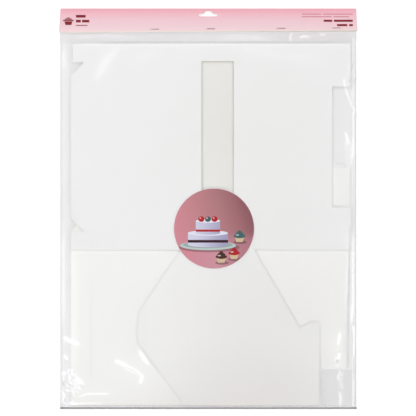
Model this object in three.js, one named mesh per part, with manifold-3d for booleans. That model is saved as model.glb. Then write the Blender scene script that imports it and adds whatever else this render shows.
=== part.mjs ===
// A retail pack of one cupcake carton, folded flat in a clear bag with a header card.
//
// The pack lies on its back: X runs to the right, Y runs up to the header card and
// Z is the way the pack faces. The origin is at the middle of the back, on the surface
// that the pack lies on. All sizes are in millimetres.

import * as THREE from "three";
import { mergeVertices } from "three/addons/utils/BufferGeometryUtils.js";
import Module from "manifold-3d";

const wasm = await Module();
wasm.setup();

// Driving dimensions of the sheets, and the clearance between sheets that lie together
const boardThickness = 0.5;
const bagFilm = 0.25;
const paneFilm = 0.2;
const headerThickness = 0.4;
const stickerThickness = 0.15;
const sheetGap = 0.3;
const stickerGap = 0.1;

// Driving dimensions of the carton blank: two long panels and two end panels
const cartonLength = 340;
const cartonDepth = 257;
const wallHeight = 120;
const roofSlope = 147;
const handleLip = 35;
const lipCorner = 3;
const notchInset = 30;
const notchSize = 22;
const gableTip = 47;
const glueFlapWidth = 18;
const glueFlapTaper = 8;
const seamGap = 0.4;
const foldLap = 2;

// Driving dimensions of the four flaps that close the carton's bottom
const recessFlapDepth = 160;
const recessLegWidth = 70;
const flapCorner = 3;
const tongueReach = 20;
const tongueClearance = 2;
const tongueCorner = 12;
const shoulderInset = 32;
const endFlapDepth = 108;
const endFlapSlant = 75;
const endFlapNib = 10;
const nibDepth = 19;

// Driving dimensions of the scored lines
const scoreWidth = 0.9;
const scoreDepth = 0.15;

// Driving dimensions of the window and its pane
const windowWidth = 52;
const windowLength = 280;
const windowCorner = 3;
const paneMargin = 8;

// Driving dimensions of the cupcake tray, a punched board with a leg along each long side
const trayClearance = 3.5;
const trayLeg = 31;
const trayCorner = 4;
const cupHole = 62;
const cupRows = 4;
const cupColumns = 3;
const trayRise = 62;
const trayInset = 4.5;
const trayTurn = THREE.MathUtils.degToRad(-1.1);

// Driving dimensions of the bag, whose size follows from what it holds
const leftMargin = 18.4;
const rightMargin = 9.6;
const bottomMargin = 6.4;
const topMargin = 17.6;
const sideWeld = 3;
const bottomWeld = 1;
const drapeClearance = 1;
const weldCavity = 0.1;
const mouthCavity = 0.4;
const mouthClearance = 2;
const rampSteps = 6;

// Driving dimensions of the header card and its hang slot
const headerDropLeft = 40;
const headerDropRight = 36.4;
const headerBackDrop = 38;
const headerOverhang = 1;
const headerTaper = 2.5;
const slotWidth = 32;
const slotWing = 4.5;
const slotCrown = 14;
const slotHeight = 9;
const slotDrop = 4;
const mouthBelowSlot = 3;

// Driving dimensions of the staples, and how far each stands from the middle of the header
const stapleCrown = 12.8;
const wireThickness = 0.5;
const wireWidth = 0.7;
const wireClearance = 0.3;
const clinchLength = 4;
const stapleLift = 4.5;
const staplePlaces = [-88, 4, 120, 211];

// Driving dimensions of the round sticker, and its place by the lower end of the window
const stickerDiameter = 133;
const stickerShift = -6;
const stickerRise = 5;

// Levels of the stack, from the surface that the pack lies on
const trayBase = bagFilm + sheetGap;
const rearBase = trayBase + boardThickness + sheetGap;
const glueFlapBase = rearBase + boardThickness;
const paneBase = glueFlapBase + boardThickness + sheetGap;
const frontBase = paneBase + paneFilm + sheetGap;
const frontTop = frontBase + boardThickness;
const bodyCavity = frontTop + sheetGap - bagFilm;
const bagTop = bodyCavity + 2 * bagFilm;
const cartonThickness = frontTop - rearBase;
const cartonFoldRadius = cartonThickness / 2;

// Levels at the mouth of the bag, where the header card and the staples clamp it
const clinchBase = sheetGap;
const headerBackBase = clinchBase + wireThickness + sheetGap;
const mouthBase = headerBackBase + headerThickness + sheetGap;
const mouthTop = mouthBase + 2 * bagFilm + mouthCavity;
const headerFrontBase = mouthTop + sheetGap;
const headerFrontTop = headerFrontBase + headerThickness;
const crownBase = headerFrontTop + sheetGap;
const headerFoldRadius = (headerFrontTop - headerBackBase) / 2;

// Places across the pack
const flatWidth = handleLip + roofSlope + wallHeight + recessFlapDepth;
const bagWidth = leftMargin + flatWidth + rightMargin;
const bagLeft = -bagWidth / 2;
const bagRight = bagWidth / 2;
const lipEdge = bagLeft + leftMargin;
const lipScore = lipEdge + handleLip;
const wallTop = lipScore + roofSlope;
const wallFoot = wallTop + wallHeight;
const flapEnd = wallFoot + recessFlapDepth;

// Places up the pack
const packHeight = bottomMargin + cartonDepth + cartonLength + topMargin + headerDropLeft;
const bagBottom = -packHeight / 2;
const headerFold = packHeight / 2;
const cartonLow = bagBottom + bottomMargin;
const cartonHigh = cartonLow + cartonDepth + cartonLength;
const frontCorner = cartonHigh - cartonLength;
const rearCorner = cartonHigh - cartonDepth;
const slotBottom = headerFold - slotDrop - slotHeight;
const mouthEnd = slotBottom - mouthBelowSlot;

// Sizes that follow from the carton
const halfDepth = cartonDepth / 2;
const gableRise = Math.sqrt(roofSlope ** 2 - halfDepth ** 2);
const wallMiddle = (wallTop + wallFoot) / 2;
const frontMiddle = (cartonHigh + frontCorner) / 2;

// Materials by what each piece is made of
const whiteBoard = new THREE.MeshStandardMaterial({ color: 0xf0f0ee, roughness: 0.62, metalness: 0 });
const trayBoard = new THREE.MeshStandardMaterial({ color: 0xefefed, roughness: 0.66, metalness: 0 });
const pinkCard = new THREE.MeshStandardMaterial({ color: 0xf0cfd6, roughness: 0.5, metalness: 0 });
const pinkPaper = new THREE.MeshStandardMaterial({ color: 0xb87882, roughness: 0.4, metalness: 0 });
const steelWire = new THREE.MeshStandardMaterial({ color: 0xb9b6bb, roughness: 0.35, metalness: 1 });
const clearPane = new THREE.MeshStandardMaterial({
  color: 0xe6e5e1, roughness: 0.12, metalness: 0, transparent: true, opacity: 0.35,
});
const clearBag = new THREE.MeshStandardMaterial({
  color: 0xeceef0, roughness: 0.15, metalness: 0, transparent: true, opacity: 0.3,
});

// Solid from a closed mesh
function solidOf(geometry) {
  const bare = geometry.clone();
  bare.deleteAttribute("normal");
  bare.deleteAttribute("uv");
  const merged = mergeVertices(bare);
  return new wasm.Manifold(new wasm.Mesh({
    numProp: 3,
    vertProperties: Float32Array.from(merged.attributes.position.array),
    triVerts: Uint32Array.from(merged.index.array),
  }));
}

// Mesh from a solid
function geometryOf(solid) {
  const { vertProperties, triVerts } = solid.getMesh();
  const geometry = new THREE.BufferGeometry();
  geometry.setAttribute("position", new THREE.BufferAttribute(Float32Array.from(vertProperties), 3));
  geometry.setIndex(new THREE.BufferAttribute(Uint32Array.from(triVerts), 1));
  geometry.computeVertexNormals();
  return geometry;
}

// All of the solids joined into one
function joined(solids) {
  return solids.reduce((whole, next) => whole.add(next));
}

// One solid with each of the others cut away
function cutBy(solid, tools) {
  return tools.reduce((left, tool) => left.subtract(tool), solid);
}

// Closed outline from corner points
function outline(points) {
  return new THREE.Shape(points.map(([x, y]) => new THREE.Vector2(x, y)));
}

// Flat sheet: an outline in the plane of the pack, given a thickness from a base level
function sheet(shape, base, thickness, curveSegments = 12) {
  const geometry = new THREE.ExtrudeGeometry(shape, { depth: thickness, bevelEnabled: false, curveSegments });
  geometry.translate(0, 0, base);
  return solidOf(geometry);
}

// Block between two corners
function block(low, high) {
  const size = new THREE.Vector3(high[0] - low[0], high[1] - low[1], high[2] - low[2]);
  const geometry = new THREE.BoxGeometry(size.x, size.y, size.z);
  geometry.translate(low[0] + size.x / 2, low[1] + size.y / 2, low[2] + size.z / 2);
  return solidOf(geometry);
}

// Rectangle with round corners, drawn about its middle
function roundRectangle(width, height, radius, middleX = 0, middleY = 0) {
  const right = middleX + width / 2;
  const top = middleY + height / 2;
  const left = right - width;
  const bottom = top - height;
  const shape = new THREE.Shape();
  shape.moveTo(left + radius, bottom);
  shape.lineTo(right - radius, bottom);
  shape.absarc(right - radius, bottom + radius, radius, -Math.PI / 2, 0, false);
  shape.absarc(right - radius, top - radius, radius, 0, Math.PI / 2, false);
  shape.absarc(left + radius, top - radius, radius, Math.PI / 2, Math.PI, false);
  shape.absarc(left + radius, bottom + radius, radius, Math.PI, 1.5 * Math.PI, false);
  return shape;
}

// Sheet turned over on itself: half a tube along X, with a short lap on each leaf.
// The bend bulges to the side that facing says, 1 for up the pack and -1 for down.
function foldedEdge(fromX, toX, edge, lowLevel, highLevel, thickness, facing) {
  const outer = (highLevel - lowLevel) / 2;
  const inner = outer - thickness;
  const centre = edge - facing * outer;
  const middle = (lowLevel + highLevel) / 2;
  const lap = centre - facing * foldLap;
  const profile = new THREE.Shape();
  profile.moveTo(lap, lowLevel);
  profile.lineTo(centre, lowLevel);
  profile.absarc(centre, middle, outer, -Math.PI / 2, Math.PI / 2, facing < 0);
  profile.lineTo(lap, highLevel);
  profile.lineTo(lap, highLevel - thickness);
  profile.lineTo(centre, highLevel - thickness);
  profile.absarc(centre, middle, inner, Math.PI / 2, -Math.PI / 2, facing > 0);
  profile.lineTo(lap, lowLevel + thickness);
  const geometry = new THREE.ExtrudeGeometry(profile, { depth: toX - fromX, bevelEnabled: false, curveSegments: 10 });
  const alongX = new THREE.Vector3(1, 0, 0);
  const alongY = new THREE.Vector3(0, 1, 0);
  const alongZ = new THREE.Vector3(0, 0, 1);
  geometry.applyMatrix4(new THREE.Matrix4().makeBasis(alongY, alongZ, alongX));
  geometry.translate(fromX, 0, 0);
  return solidOf(geometry);
}

// Values in even steps, both ends included
function spread(from, to, steps) {
  return Array.from({ length: steps + 1 }, (unused, step) => from + ((to - from) * step) / steps);
}

// Level from 0 to 1 as a film eases over an edge
function ease(part) {
  const held = THREE.MathUtils.clamp(part, 0, 1);
  return held * held * (3 - 2 * held);
}

// Solid over a rectangle of grid lines, between a lower and an upper level at each point
function levelSolid(gridX, gridY, lowerAt, upperAt) {
  const positions = [];
  for (const levelAt of [lowerAt, upperAt]) {
    for (const y of gridY) {
      for (const x of gridX) {
        positions.push(x, y, levelAt(x, y));
      }
    }
  }
  const columns = gridX.length;
  const rows = gridY.length;
  const upper = columns * rows;
  const triangles = [];
  const quad = (a, b, c, d) => triangles.push(a, b, c, a, c, d);
  for (let row = 0; row + 1 < rows; row += 1) {
    for (let column = 0; column + 1 < columns; column += 1) {
      const corner = row * columns + column;
      quad(corner, corner + columns, corner + columns + 1, corner + 1);
      quad(upper + corner, upper + corner + 1, upper + corner + columns + 1, upper + corner + columns);
    }
  }
  for (let column = 0; column + 1 < columns; column += 1) {
    const far = (rows - 1) * columns + column;
    quad(column, column + 1, upper + column + 1, upper + column);
    quad(far + 1, far, upper + far, upper + far + 1);
  }
  for (let row = 0; row + 1 < rows; row += 1) {
    const near = row * columns;
    const far = near + columns - 1;
    quad(near + columns, near, upper + near, upper + near + columns);
    quad(far, far + columns, upper + far + columns, upper + far);
  }
  const geometry = new THREE.BufferGeometry();
  geometry.setAttribute("position", new THREE.Float32BufferAttribute(positions, 3));
  geometry.setIndex(triangles);
  return solidOf(geometry);
}

// Long panel from its middle line to one side: handle lip with its locking notch, roof
// slope, wall, and then the bottom flap's own points. Side is measured from the middle line.
function longPanelHalf(halfLength, flapPoints) {
  return [
    [lipEdge, halfLength - notchInset - notchSize],
    [lipEdge + notchSize, halfLength - notchInset],
    [lipEdge, halfLength - notchInset],
    [lipEdge, halfLength - lipCorner],
    [lipEdge + lipCorner, halfLength],
    ...flapPoints,
  ];
}

// Bottom flap with two legs beside a recess that ends at the carton's middle line
function recessFlapHalf(halfLength) {
  const legEdge = halfLength - recessLegWidth;
  return [
    [flapEnd - flapCorner, halfLength],
    [flapEnd, halfLength - flapCorner],
    [flapEnd, legEdge + flapCorner],
    [flapEnd - flapCorner, legEdge],
    [wallFoot + halfDepth, legEdge],
  ];
}

// Bottom flap with a tongue that goes through the recess, past the carton's middle line
function tongueFlapHalf(halfLength) {
  const tongueEdge = halfLength - recessLegWidth - tongueClearance;
  const shoulder = wallFoot + halfDepth - shoulderInset;
  const tongueEnd = wallFoot + halfDepth + tongueReach;
  return [
    [shoulder - flapCorner, halfLength],
    [shoulder, halfLength - flapCorner],
    [shoulder, tongueEdge],
    [tongueEnd - tongueCorner, tongueEdge],
    [tongueEnd, tongueEdge - tongueCorner],
  ];
}

// Both halves of a long panel, about the middle line at a height up the pack
function longPanel(middleY, halfLength, flapPoints) {
  const half = longPanelHalf(halfLength, flapPoints);
  const upperHalf = half.map(([x, side]) => [x, middleY + side]);
  const lowerHalf = half.map(([x, side]) => [x, middleY - side]).reverse();
  return outline([...upperHalf, ...lowerHalf]);
}

// End panel below a height up the pack: gable flap, wall, and a bottom flap that
// slants on the side of the front panel and ends in a locking nib
function endPanel(high, low, reachUp) {
  const middle = high - halfDepth;
  return outline([
    [wallTop, low],
    [wallTop - gableRise, middle - gableTip / 2],
    [wallTop - gableRise, middle + gableTip / 2],
    [wallTop, high],
    [wallTop, high + reachUp],
    [wallFoot, high + reachUp],
    [wallFoot, high],
    [wallFoot + endFlapSlant, middle],
    [wallFoot + endFlapSlant + nibDepth, middle + endFlapNib],
    [wallFoot + endFlapDepth, middle + endFlapNib],
    [wallFoot + endFlapDepth, low + flapCorner],
    [wallFoot + endFlapDepth - flapCorner, low],
  ]);
}

// Scored line along Y, pressed into the face that lies at a level
function scoreAcross(x, fromY, toY, level) {
  return block(
    [x - scoreWidth / 2, fromY, level - scoreDepth],
    [x + scoreWidth / 2, toY, level + scoreDepth],
  );
}

// Scored line along X, pressed into the face that lies at a level
function scoreAlong(y, fromX, toX, level) {
  return block(
    [fromX, y - scoreWidth / 2, level - scoreDepth],
    [toX, y + scoreWidth / 2, level + scoreDepth],
  );
}

// Carton: one blank, glued to a tube and folded flat. The front panel and one end panel
// lie in front, and the back panel and the other end panel lie behind.
function makeCarton() {
  const sheetHigh = cartonHigh - cartonFoldRadius;
  const sheetLow = cartonLow + cartonFoldRadius;

  const frontHalf = (sheetHigh - frontCorner) / 2;
  const frontPanel = longPanel(frontCorner + frontHalf, frontHalf, recessFlapHalf(frontHalf));
  frontPanel.holes.push(roundRectangle(windowWidth, windowLength, windowCorner, wallMiddle, frontMiddle));
  const frontEnd = endPanel(frontCorner, sheetLow, foldLap);

  const backHigh = rearCorner - seamGap / 2;
  const backHalf = (backHigh - sheetLow) / 2;
  const backPanel = longPanel(sheetLow + backHalf, backHalf, tongueFlapHalf(backHalf));
  const rearEnd = endPanel(sheetHigh, rearCorner + seamGap / 2, 0);

  const glueFlap = outline([
    [wallTop + glueFlapTaper, rearCorner - glueFlapWidth],
    [wallTop, rearCorner + glueFlapWidth / 2],
    [wallFoot, rearCorner + glueFlapWidth / 2],
    [wallFoot - glueFlapTaper, rearCorner - glueFlapWidth],
  ]);

  const tube = joined([
    sheet(frontPanel, frontBase, boardThickness),
    sheet(frontEnd, frontBase, boardThickness),
    sheet(backPanel, rearBase, boardThickness),
    sheet(rearEnd, rearBase, boardThickness),
    sheet(glueFlap, glueFlapBase, boardThickness),
    foldedEdge(wallTop, wallFoot, cartonHigh, rearBase, frontTop, boardThickness, 1),
    foldedEdge(wallTop, wallFoot, cartonLow, rearBase, frontTop, boardThickness, -1),
  ]);

  return cutBy(tube, [
    scoreAcross(lipScore, frontCorner, sheetHigh, frontTop),
    scoreAcross(wallTop, sheetLow, sheetHigh, frontTop),
    scoreAcross(wallFoot, sheetLow, sheetHigh, frontTop),
    scoreAlong(frontCorner, wallTop, wallFoot, frontTop),
    scoreAcross(lipScore, sheetLow, backHigh, rearBase),
    scoreAcross(wallTop, sheetLow, sheetHigh, rearBase),
    scoreAcross(wallFoot, sheetLow, sheetHigh, rearBase),
  ]);
}

// Window pane: a clear sheet glued behind the window, wider than it all round
function makePane() {
  const width = windowWidth + 2 * paneMargin;
  const length = windowLength + 2 * paneMargin;
  return sheet(roundRectangle(width, length, windowCorner, wallMiddle, frontMiddle), paneBase, paneFilm);
}

// Cupcake tray: drawn about its own middle, with a hole for each cup and a scored leg
// along each long side, and lying loose behind the carton
function makeTray() {
  const innerWidth = cartonDepth - 2 * trayClearance;
  const length = cartonLength - 2 * trayClearance;
  const board = roundRectangle(innerWidth + 2 * trayLeg, length, trayCorner);
  const columnPitch = innerWidth / cupColumns;
  const rowPitch = length / cupRows;
  for (let column = 0; column < cupColumns; column += 1) {
    for (let row = 0; row < cupRows; row += 1) {
      const hole = new THREE.Path();
      const holeX = (column + 0.5) * columnPitch - innerWidth / 2;
      const holeY = (row + 0.5) * rowPitch - length / 2;
      hole.absarc(holeX, holeY, cupHole / 2, 0, 2 * Math.PI, false);
      board.holes.push(hole);
    }
  }
  const face = trayBase + boardThickness;
  return cutBy(sheet(board, trayBase, boardThickness, 20), [
    scoreAcross(-innerWidth / 2, -length / 2, length / 2, face),
    scoreAcross(innerWidth / 2, -length / 2, length / 2, face),
  ]);
}

// Middle of the tray as it lies in the bag
function trayPlace() {
  const width = cartonDepth - 2 * trayClearance + 2 * trayLeg;
  const length = cartonLength - 2 * trayClearance;
  return new THREE.Vector3(flapEnd - trayInset - width / 2, cartonLow + trayRise + length / 2, 0);
}

// Legs of one staple, as places along the header
function stapleLegs(place) {
  const reach = (stapleCrown - wireThickness) / 2;
  return [place - reach, place + reach];
}

// Height of the header card's lower edge in front, at a place along it
function frontEdgeAt(x) {
  const share = (x - bagLeft) / bagWidth;
  return headerFold - THREE.MathUtils.lerp(headerDropLeft, headerDropRight, share);
}

// Punches for the legs of every staple, through all that they clamp
function stapleHoles() {
  const halfX = wireThickness / 2 + wireClearance;
  const halfY = wireWidth / 2 + wireClearance;
  return staplePlaces.flatMap((place) => {
    const y = frontEdgeAt(place) + stapleLift;
    return stapleLegs(place).map((x) => block([x - halfX, y - halfY, 0], [x + halfX, y + halfY, crownBase]));
  });
}

// Clear bag: two films welded along the sides and the bottom, draped over the carton,
// and drawn together at the mouth between the leaves of the header card
function makeBag() {
  const drapeLeft = leftMargin - sideWeld - drapeClearance;
  const drapeRight = rightMargin - sideWeld - drapeClearance;
  const drapeBottom = bottomMargin - bottomWeld - drapeClearance;
  const weldLeft = bagLeft + sideWeld;
  const weldRight = bagRight - sideWeld;
  const weldBottom = bagBottom + bottomWeld;
  const rampLow = cartonHigh + drapeClearance;
  const rampHigh = headerFold - Math.max(headerDropLeft, headerBackDrop) - mouthClearance;

  const mouthShare = (y) => ease((y - rampLow) / (rampHigh - rampLow));
  const cavityAt = (x, y) => {
    const full = THREE.MathUtils.lerp(bodyCavity, mouthCavity, mouthShare(y));
    const left = ease((x - weldLeft) / drapeLeft);
    const right = ease((weldRight - x) / drapeRight);
    const bottom = ease((y - weldBottom) / drapeBottom);
    return weldCavity + (full - weldCavity) * left * right * bottom;
  };
  const backAt = (x, y) => mouthBase * mouthShare(y);
  const frontAt = (x, y) => backAt(x, y) + 2 * bagFilm + cavityAt(x, y);

  const innerX = [
    ...spread(weldLeft, weldLeft + drapeLeft, rampSteps),
    ...spread(weldRight - drapeRight, weldRight, rampSteps),
  ];
  const bodyY = [
    ...spread(weldBottom, weldBottom + drapeBottom, rampSteps),
    ...spread(rampLow, rampHigh, rampSteps),
  ];
  const outside = levelSolid([bagLeft, ...innerX, bagRight], [bagBottom, ...bodyY, mouthEnd], backAt, frontAt);
  const inside = levelSolid(
    innerX,
    [...bodyY, mouthEnd + mouthClearance],
    (x, y) => backAt(x, y) + bagFilm,
    (x, y) => frontAt(x, y) - bagFilm,
  );
  return cutBy(outside, [inside, ...stapleHoles()]);
}

// Hang slot: a slot with round ends and a domed crown on its upper side
function slotOutline() {
  const wing = slotWing / 2;
  const wingEnd = slotWidth / 2 - wing;
  const wingTop = slotBottom + slotWing;
  const shape = new THREE.Shape();
  shape.moveTo(-wingEnd, slotBottom);
  shape.lineTo(wingEnd, slotBottom);
  shape.absarc(wingEnd, slotBottom + wing, wing, -Math.PI / 2, Math.PI / 2, false);
  shape.lineTo(slotCrown / 2, wingTop);
  shape.absellipse(0, wingTop, slotCrown / 2, slotHeight - slotWing, 0, Math.PI, false);
  shape.lineTo(-wingEnd, wingTop);
  shape.absarc(-wingEnd, slotBottom + wing, wing, Math.PI / 2, 1.5 * Math.PI, false);
  return shape;
}

// Header card: one card folded over the mouth of the bag, a little wider at its lower
// edge, with the front leaf cut slightly out of square
function makeHeader() {
  const leafTop = headerFold - headerFoldRadius;
  const topHalf = bagWidth / 2 + headerOverhang - headerTaper;
  const lowHalf = bagWidth / 2 + headerOverhang;
  const leaf = (leftEdge, rightEdge) => outline([
    [-lowHalf, leftEdge],
    [lowHalf, rightEdge],
    [topHalf, leafTop],
    [-topHalf, leafTop],
  ]);
  const backEdge = headerFold - headerBackDrop;
  const card = joined([
    sheet(leaf(frontEdgeAt(-lowHalf), frontEdgeAt(lowHalf)), headerFrontBase, headerThickness),
    sheet(leaf(backEdge, backEdge), headerBackBase, headerThickness),
    foldedEdge(-topHalf, topHalf, headerFold, headerBackBase, headerFrontTop, headerThickness, 1),
  ]);
  return cutBy(card, [sheet(slotOutline(), 0, crownBase), ...stapleHoles()]);
}

// Staple: flat wire with its crown in front and its legs clinched towards each other behind
function makeStaple(place) {
  const half = stapleCrown / 2;
  const crownTop = crownBase + wireThickness;
  const legInside = half - wireThickness;
  const clinchEnd = legInside - clinchLength;
  const clinchTop = clinchBase + wireThickness;
  const profile = outline([
    [-half, clinchBase],
    [-clinchEnd, clinchBase],
    [-clinchEnd, clinchTop],
    [-legInside, clinchTop],
    [-legInside, crownBase],
    [legInside, crownBase],
    [legInside, clinchTop],
    [clinchEnd, clinchTop],
    [clinchEnd, clinchBase],
    [half, clinchBase],
    [half, crownTop],
    [-half, crownTop],
  ]);
  const geometry = new THREE.ExtrudeGeometry(profile, { depth: wireWidth, bevelEnabled: false });
  geometry.rotateX(Math.PI / 2);
  geometry.translate(place, frontEdgeAt(place) + stapleLift + wireWidth / 2, 0);
  return geometry;
}

// Round sticker, which lies on the bag over the lower end of the window
function makeSticker() {
  const radius = stickerDiameter / 2;
  const geometry = new THREE.CylinderGeometry(radius, radius, stickerThickness, 96);
  geometry.rotateX(Math.PI / 2);
  geometry.translate(
    wallMiddle + stickerShift,
    frontMiddle - windowLength / 2 + stickerRise,
    bagTop + stickerGap + stickerThickness / 2,
  );
  return geometry;
}

// Named piece of the pack
function piece(name, geometry, material) {
  const mesh = new THREE.Mesh(geometry, material);
  mesh.name = name;
  return mesh;
}

const tray = piece("cupcake_tray", geometryOf(makeTray()), trayBoard);
tray.position.copy(trayPlace());
tray.rotation.z = trayTurn;

const pack = new THREE.Group();
pack.add(
  piece("clear_bag", geometryOf(makeBag()), clearBag),
  tray,
  piece("carton", geometryOf(makeCarton()), whiteBoard),
  piece("window_pane", geometryOf(makePane()), clearPane),
  piece("header_card", geometryOf(makeHeader()), pinkCard),
  piece("round_sticker", makeSticker(), pinkPaper),
);
staplePlaces.forEach((place, index) => {
  pack.add(piece(`staple_${index + 1}`, makeStaple(place), steelWire));
});

export default pack;
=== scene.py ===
"""Looks of a retail pack: a cupcake carton folded flat in a clear bag, under a header card.

The pack lies on its back: X runs to the right, Y runs up to the header card and Z is the
way the pack faces. Sizes here are in millimetres, and MM turns them into metres.
"""

import logging
import math
from dataclasses import dataclass
from enum import Enum
from typing import Any, Callable, Iterable, Mapping, Sequence, Union

import bpy
import numpy as np
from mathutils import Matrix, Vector
from mathutils.bvhtree import BVHTree

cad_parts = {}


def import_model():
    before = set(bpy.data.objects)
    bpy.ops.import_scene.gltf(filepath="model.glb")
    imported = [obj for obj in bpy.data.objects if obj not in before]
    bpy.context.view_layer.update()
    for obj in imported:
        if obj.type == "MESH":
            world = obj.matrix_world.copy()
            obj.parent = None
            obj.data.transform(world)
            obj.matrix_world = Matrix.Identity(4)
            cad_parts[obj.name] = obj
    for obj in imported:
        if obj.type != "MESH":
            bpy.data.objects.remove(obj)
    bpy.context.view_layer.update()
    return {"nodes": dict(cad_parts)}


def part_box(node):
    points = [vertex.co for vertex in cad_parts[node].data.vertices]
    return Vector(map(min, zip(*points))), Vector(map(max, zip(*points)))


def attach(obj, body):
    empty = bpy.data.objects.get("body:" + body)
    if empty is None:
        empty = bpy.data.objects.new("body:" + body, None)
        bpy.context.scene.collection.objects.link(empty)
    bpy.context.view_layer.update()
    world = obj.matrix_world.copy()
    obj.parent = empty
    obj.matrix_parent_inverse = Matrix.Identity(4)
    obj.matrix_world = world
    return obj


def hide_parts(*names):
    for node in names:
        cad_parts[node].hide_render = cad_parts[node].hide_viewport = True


MM = 0.001
BODY = "root"
WHITE = (1.0, 1.0, 1.0, 1.0)
BLACK = (0.0, 0.0, 0.0, 1.0)
# Names of the values that are stored on a film's mesh: a painted glow that whitens it, and painted
# shade.
HAZE_AND_GLOW = "haze_and_glow"
SHADE = "shade"
# How steeply the share that a clear face mirrors rises near its outline.
GRAZING_POWER = 5.0
# Straight part of the way that a pulled film rises.
STRAIGHT_SHARE = 0.8
# A little more than one raster step, so that the next raster line can always be read.
LAST_STEP = 1.001
log = logging.getLogger("pack")

Point = tuple[float, float]
Colour = tuple[float, float, float, float]
Stops = tuple[tuple[float, Colour], ...]


def srgb(red: float, green: float, blue: float) -> Colour:
    """Gives a colour, written as it looks on a screen from 0 to 255, as linear light.

    Args:
        red: Red from 0 to 255.
        green: Green from 0 to 255.
        blue: Blue from 0 to 255.

    Returns:
        The linear colour, with a solid alpha.
    """
    def linear(value: float) -> float:
        """Turns one channel into linear light."""
        share = value / 255
        return share / 12.92 if share <= 0.04045 else ((share + 0.055) / 1.055) ** 2.4

    return linear(red), linear(green), linear(blue), 1.0


def ease(part: np.ndarray) -> np.ndarray:
    """Eases from 0 to 1 as part does, with a level start and end."""
    held = np.clip(part, 0, 1)
    return held * held * (3 - 2 * held)


def taut(part: np.ndarray) -> np.ndarray:
    """Goes from 0 to 1 as part does, nearly straight, as a pulled film does."""
    return STRAIGHT_SHARE * np.clip(part, 0, 1) + (1 - STRAIGHT_SHARE) * ease(part)


def put(name: str, data: bpy.types.ID) -> bpy.types.Object:
    """Adds an object with the given data to the scene."""
    made = bpy.data.objects.new(name, data)
    bpy.context.scene.collection.objects.link(made)
    return made


def paint_node(node: bpy.types.Object, material: bpy.types.Material) -> None:
    """Gives a CAD node one material."""
    node.data.materials.clear()
    node.data.materials.append(material)


def stand_for_bag(piece: bpy.types.Object) -> None:
    """States that a piece rides the pack in place of the CAD bag."""
    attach(piece, BODY)
    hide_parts("clear_bag")


@dataclass(frozen=True)
class Extent:
    """Box of one CAD node, in millimetres.

    Attributes:
        low: Lowest corner.
        high: Highest corner.
    """

    low: Vector
    high: Vector

    @classmethod
    def of(cls, node: str) -> "Extent":
        """Reads the box of a CAD node from the frame."""
        low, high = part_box(node)
        return cls(low / MM, high / MM)

    @property
    def middle(self) -> Vector:
        """Middle of the box."""
        return (self.low + self.high) / 2


def math_node(operation: str, swapped: bool = False) -> Callable[..., "Signal"]:
    """Makes a Python operator that adds one Math node.

    Args:
        operation: Operation of the node.
        swapped: Whether the other term comes first.

    Returns:
        The operator.
    """
    def joined(self: "Signal", other: "Term" = 0.0) -> "Signal":
        """Adds the node over the signal and the other term."""
        first, second = (other, self) if swapped else (self, other)
        return self.owner.signal("ShaderNodeMath", {"operation": operation}, {0: first, 1: second})

    return joined


class Signal:
    """A number that varies over a surface. Arithmetic on it adds Math nodes to its tree.

    A comparison gives 1 where it holds and 0 elsewhere, and | joins two such masks.
    """

    def __init__(self, owner: "Tree", socket: bpy.types.NodeSocket) -> None:
        """Wraps one output socket of a tree."""
        self.owner = owner
        self.socket = socket

    __add__ = __radd__ = math_node("ADD")
    __sub__ = math_node("SUBTRACT")
    __rsub__ = math_node("SUBTRACT", swapped=True)
    __mul__ = __rmul__ = math_node("MULTIPLY")
    __truediv__ = math_node("DIVIDE")
    __pow__ = math_node("POWER")
    __lt__ = math_node("LESS_THAN")
    __or__ = math_node("MAXIMUM")
    __abs__ = math_node("ABSOLUTE")


Term = Union[Signal, float]
Key = Union[int, str]


class Tree:
    """A node tree while it is made."""

    def __init__(self, tree: bpy.types.NodeTree) -> None:
        """Takes a tree over and empties it."""
        self.tree = tree
        tree.nodes.clear()

    @staticmethod
    def pick(sockets: Any, key: Key) -> bpy.types.NodeSocket:
        """Finds a socket by its place, its identifier or its name."""
        if isinstance(key, int):
            return sockets[key]
        exact = [socket for socket in sockets if socket.identifier == key]
        return exact[0] if exact else sockets[key]

    def node(
        self,
        kind: str,
        settings: Mapping[str, Any] | None = None,
        inputs: Mapping[Key, Any] | None = None,
    ) -> bpy.types.Node:
        """Adds one node of any type.

        Args:
            kind: Type of the node.
            settings: Properties set first, such as an operation.
            inputs: Values or links of its sockets.

        Returns:
            The new node.
        """
        made = self.tree.nodes.new(kind)
        for name, value in (settings or {}).items():
            setattr(made, name, value)
        for key, value in (inputs or {}).items():
            socket = self.pick(made.inputs, key)
            source = value.socket if isinstance(value, Signal) else value
            if isinstance(source, bpy.types.NodeSocket):
                self.tree.links.new(source, socket)
            else:
                socket.default_value = source
        return made

    def signal(
        self,
        kind: str,
        settings: Mapping[str, Any] | None = None,
        inputs: Mapping[Key, Any] | None = None,
        output: Key = 0,
    ) -> Signal:
        """Adds one node and wraps an output of it."""
        made = self.node(kind, settings, inputs)
        return Signal(self, self.pick(made.outputs, output))

    def rise(self, value: Term, low: float, high: float) -> Signal:
        """Gives 0 where value is low, 1 where it is high, and a smooth step between."""
        return self.signal(
            "ShaderNodeMapRange",
            {"interpolation_type": "SMOOTHSTEP"},
            {"Value": value, "From Min": low, "From Max": high},
        )

    def rays(self, *kinds: str) -> Signal:
        """Gives 1 for rays of any of the kinds, and 0 for the others."""
        outputs = self.node("ShaderNodeLightPath").outputs
        first, *others = (Signal(self, outputs[f"Is {kind} Ray"]) for kind in kinds)
        for other in others:
            first = first | other
        return first


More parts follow.
